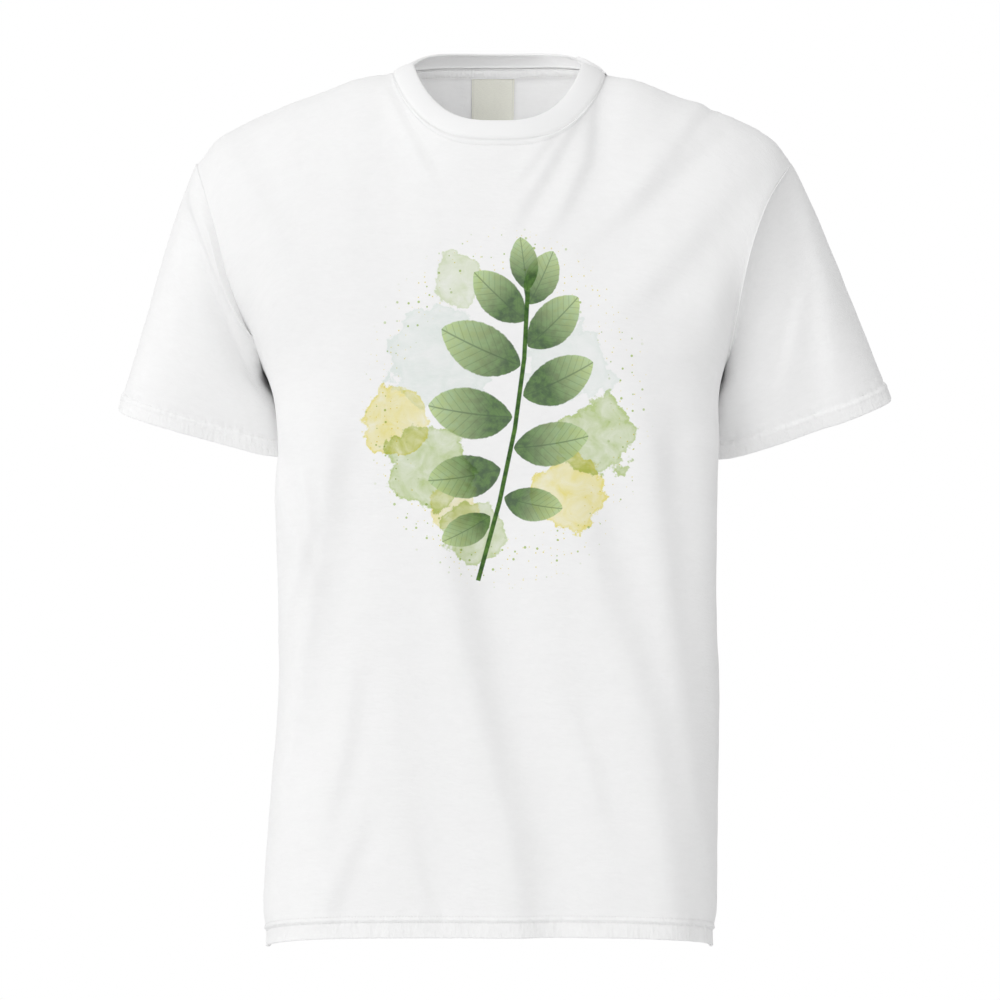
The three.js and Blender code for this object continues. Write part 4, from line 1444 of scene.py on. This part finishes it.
def hemmed_faces(sheet, cloth_thickness):
    """Both faces of a panel or a sleeve, whose cloth is thicker where it is turned up."""
    turned_up = np.clip((sheet["hem"] - 3 - sheet["to_hem"]) / 2 + 1, 0, 1)
    thickness = lerp(cloth_thickness, HEM_CLOTH, turned_up)
    return two_faces(sheet["points"], thickness, rim(sheet["to_hem"], 1.0), **sheet["way"])


def hem_stitches(context, name, rows):
    """Rows of stitches along given lines of the cloth, as one piece."""
    thread = context.scene.shirt_stitches
    lines = [along_path(path, square, thread.pitch / MM) for path, square in rows]
    vertices, faces = stitch_mesh(lines, thread.length / MM, thread.thickness / MM)
    piece = object_from(name, vertices, faces, [thread_material(thread)])
    piece.data.shade_smooth()
    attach(piece, "root")
    return piece


# ---------------------------------------------------------------- stage


def lay_floor(stage):
    bpy.ops.mesh.primitive_circle_add(vertices=96, radius=stage.floor_radius, fill_type="NGON")
    floor = bpy.context.object
    floor.name = "studio_floor"
    floor.location = (0, 0, HEM_Z * MM - stage.floor_drop)
    floor.data.materials.append(floor_material(stage))


def area_light(name, power, size, place, target):
    data = bpy.data.lights.new(name, "AREA")
    data.energy = power
    data.size = size
    light = bpy.data.objects.new(name, data)
    light.location = place
    away = np.array(target) - np.array(place)
    flat = math.hypot(away[0], away[1])
    light.rotation_euler = (math.atan2(flat, -away[2]), 0, math.atan2(away[1], away[0]) - math.pi / 2)
    light.visible_camera = False
    bpy.context.scene.collection.objects.link(light)


# Metres: each light's setting, its size, where it stands and what it points at.
LIGHTS = [
    ("key", 1.7, (-2.3, -2.4, 1.3), (0, 0, -0.38)),
    ("fill", 2.4, (2.6, -2.6, 0.2), (0, 0, -0.38)),
    ("neck", 0.05, (0.04, -0.035, -0.09), (0.05, 0.09, 0.0)),
]
BRIGHT_WAY = (-0.58, -0.66, 0.48)
CAMERA_LOOKS_AT = (0.0044, -0.3784)
CAMERA_SEES_WIDE = 0.872


def surround_with_light(stage):
    """The room: white to the eye; as light on the cloth it is brighter on one side."""
    world = bpy.context.scene.world or bpy.data.worlds.new("studio")
    bpy.context.scene.world = world
    world.use_nodes = True
    world.node_tree.nodes.clear()
    shade = Shading(world.node_tree)
    way = shade.node("TexCoord").outputs["Generated"]
    towards = shade.vector_maths("DOT_PRODUCT", way, BRIGHT_WAY)
    strength = shade.times_plus(towards, stage.lean, stage.surround)
    white = {"Color": (1, 1, 1, 1), "Strength": strength}
    lit = shade.node("Background", white).outputs[0]
    seen = shade.node("Background", {**white, "Strength": 1.0}).outputs[0]
    to_camera = shade.node("LightPath").outputs["Is Camera Ray"]
    both = shade.node("MixShader", {0: to_camera, 1: lit, 2: seen}).outputs[0]
    shade.node("OutputWorld", {"Surface": both})


def place_camera(stage):
    """Level with the middle of the shirt and square to it, far enough to look almost flat."""
    data = bpy.data.cameras.new("camera")
    data.sensor_width = 36
    data.lens = data.sensor_width * stage.camera_distance / CAMERA_SEES_WIDE
    camera = bpy.data.objects.new("camera", data)
    camera.location = (CAMERA_LOOKS_AT[0], -stage.camera_distance, CAMERA_LOOKS_AT[1])
    camera.rotation_euler = (math.pi / 2, 0, 0)
    bpy.context.scene.collection.objects.link(camera)
    bpy.context.scene.camera = camera


# ---------------------------------------------------------------- panel and registration


class SHIRT_PT_sidebar(bpy.types.Panel):
    """Lists the steps that make the T-shirt, with their settings"""

    bl_idname = "SHIRT_PT_sidebar"
    bl_label = "T-shirt"
    bl_space_type = "VIEW_3D"
    bl_region_type = "UI"
    bl_category = "T-shirt"

    def draw(self, context):
        for group in SETTINGS:
            box = self.layout.box()
            settings = getattr(context.scene, group)
            for name in settings.__annotations__:
                box.prop(settings, name)
        for step in STEPS:
            self.layout.operator(step.bl_idname)


SETTINGS = {
    "shirt_cloth": ShirtCloth,
    "shirt_stitches": ShirtStitches,
    "shirt_print": ShirtPrint,
    "shirt_label": ShirtLabel,
    "shirt_stage": ShirtStage,
}
STEPS = [SHIRT_OT_stage, SHIRT_OT_panels, SHIRT_OT_sleeves, SHIRT_OT_collar, SHIRT_OT_neck_lining]


def register():
    for group in (*SETTINGS.values(), *STEPS, SHIRT_PT_sidebar):
        bpy.utils.register_class(group)
    for name, group in SETTINGS.items():
        setattr(bpy.types.Scene, name, bpy.props.PointerProperty(type=group))


def unregister():
    for name in SETTINGS:
        delattr(bpy.types.Scene, name)
    for group in reversed((*SETTINGS.values(), *STEPS, SHIRT_PT_sidebar)):
        bpy.utils.unregister_class(group)


def main():
    register()
    bpy.ops.shirt.stage()
    bpy.ops.shirt.panels()
    bpy.ops.shirt.sleeves()
    bpy.ops.shirt.collar()
    bpy.ops.shirt.neck_lining()


if __name__ == "__main__":
    main()
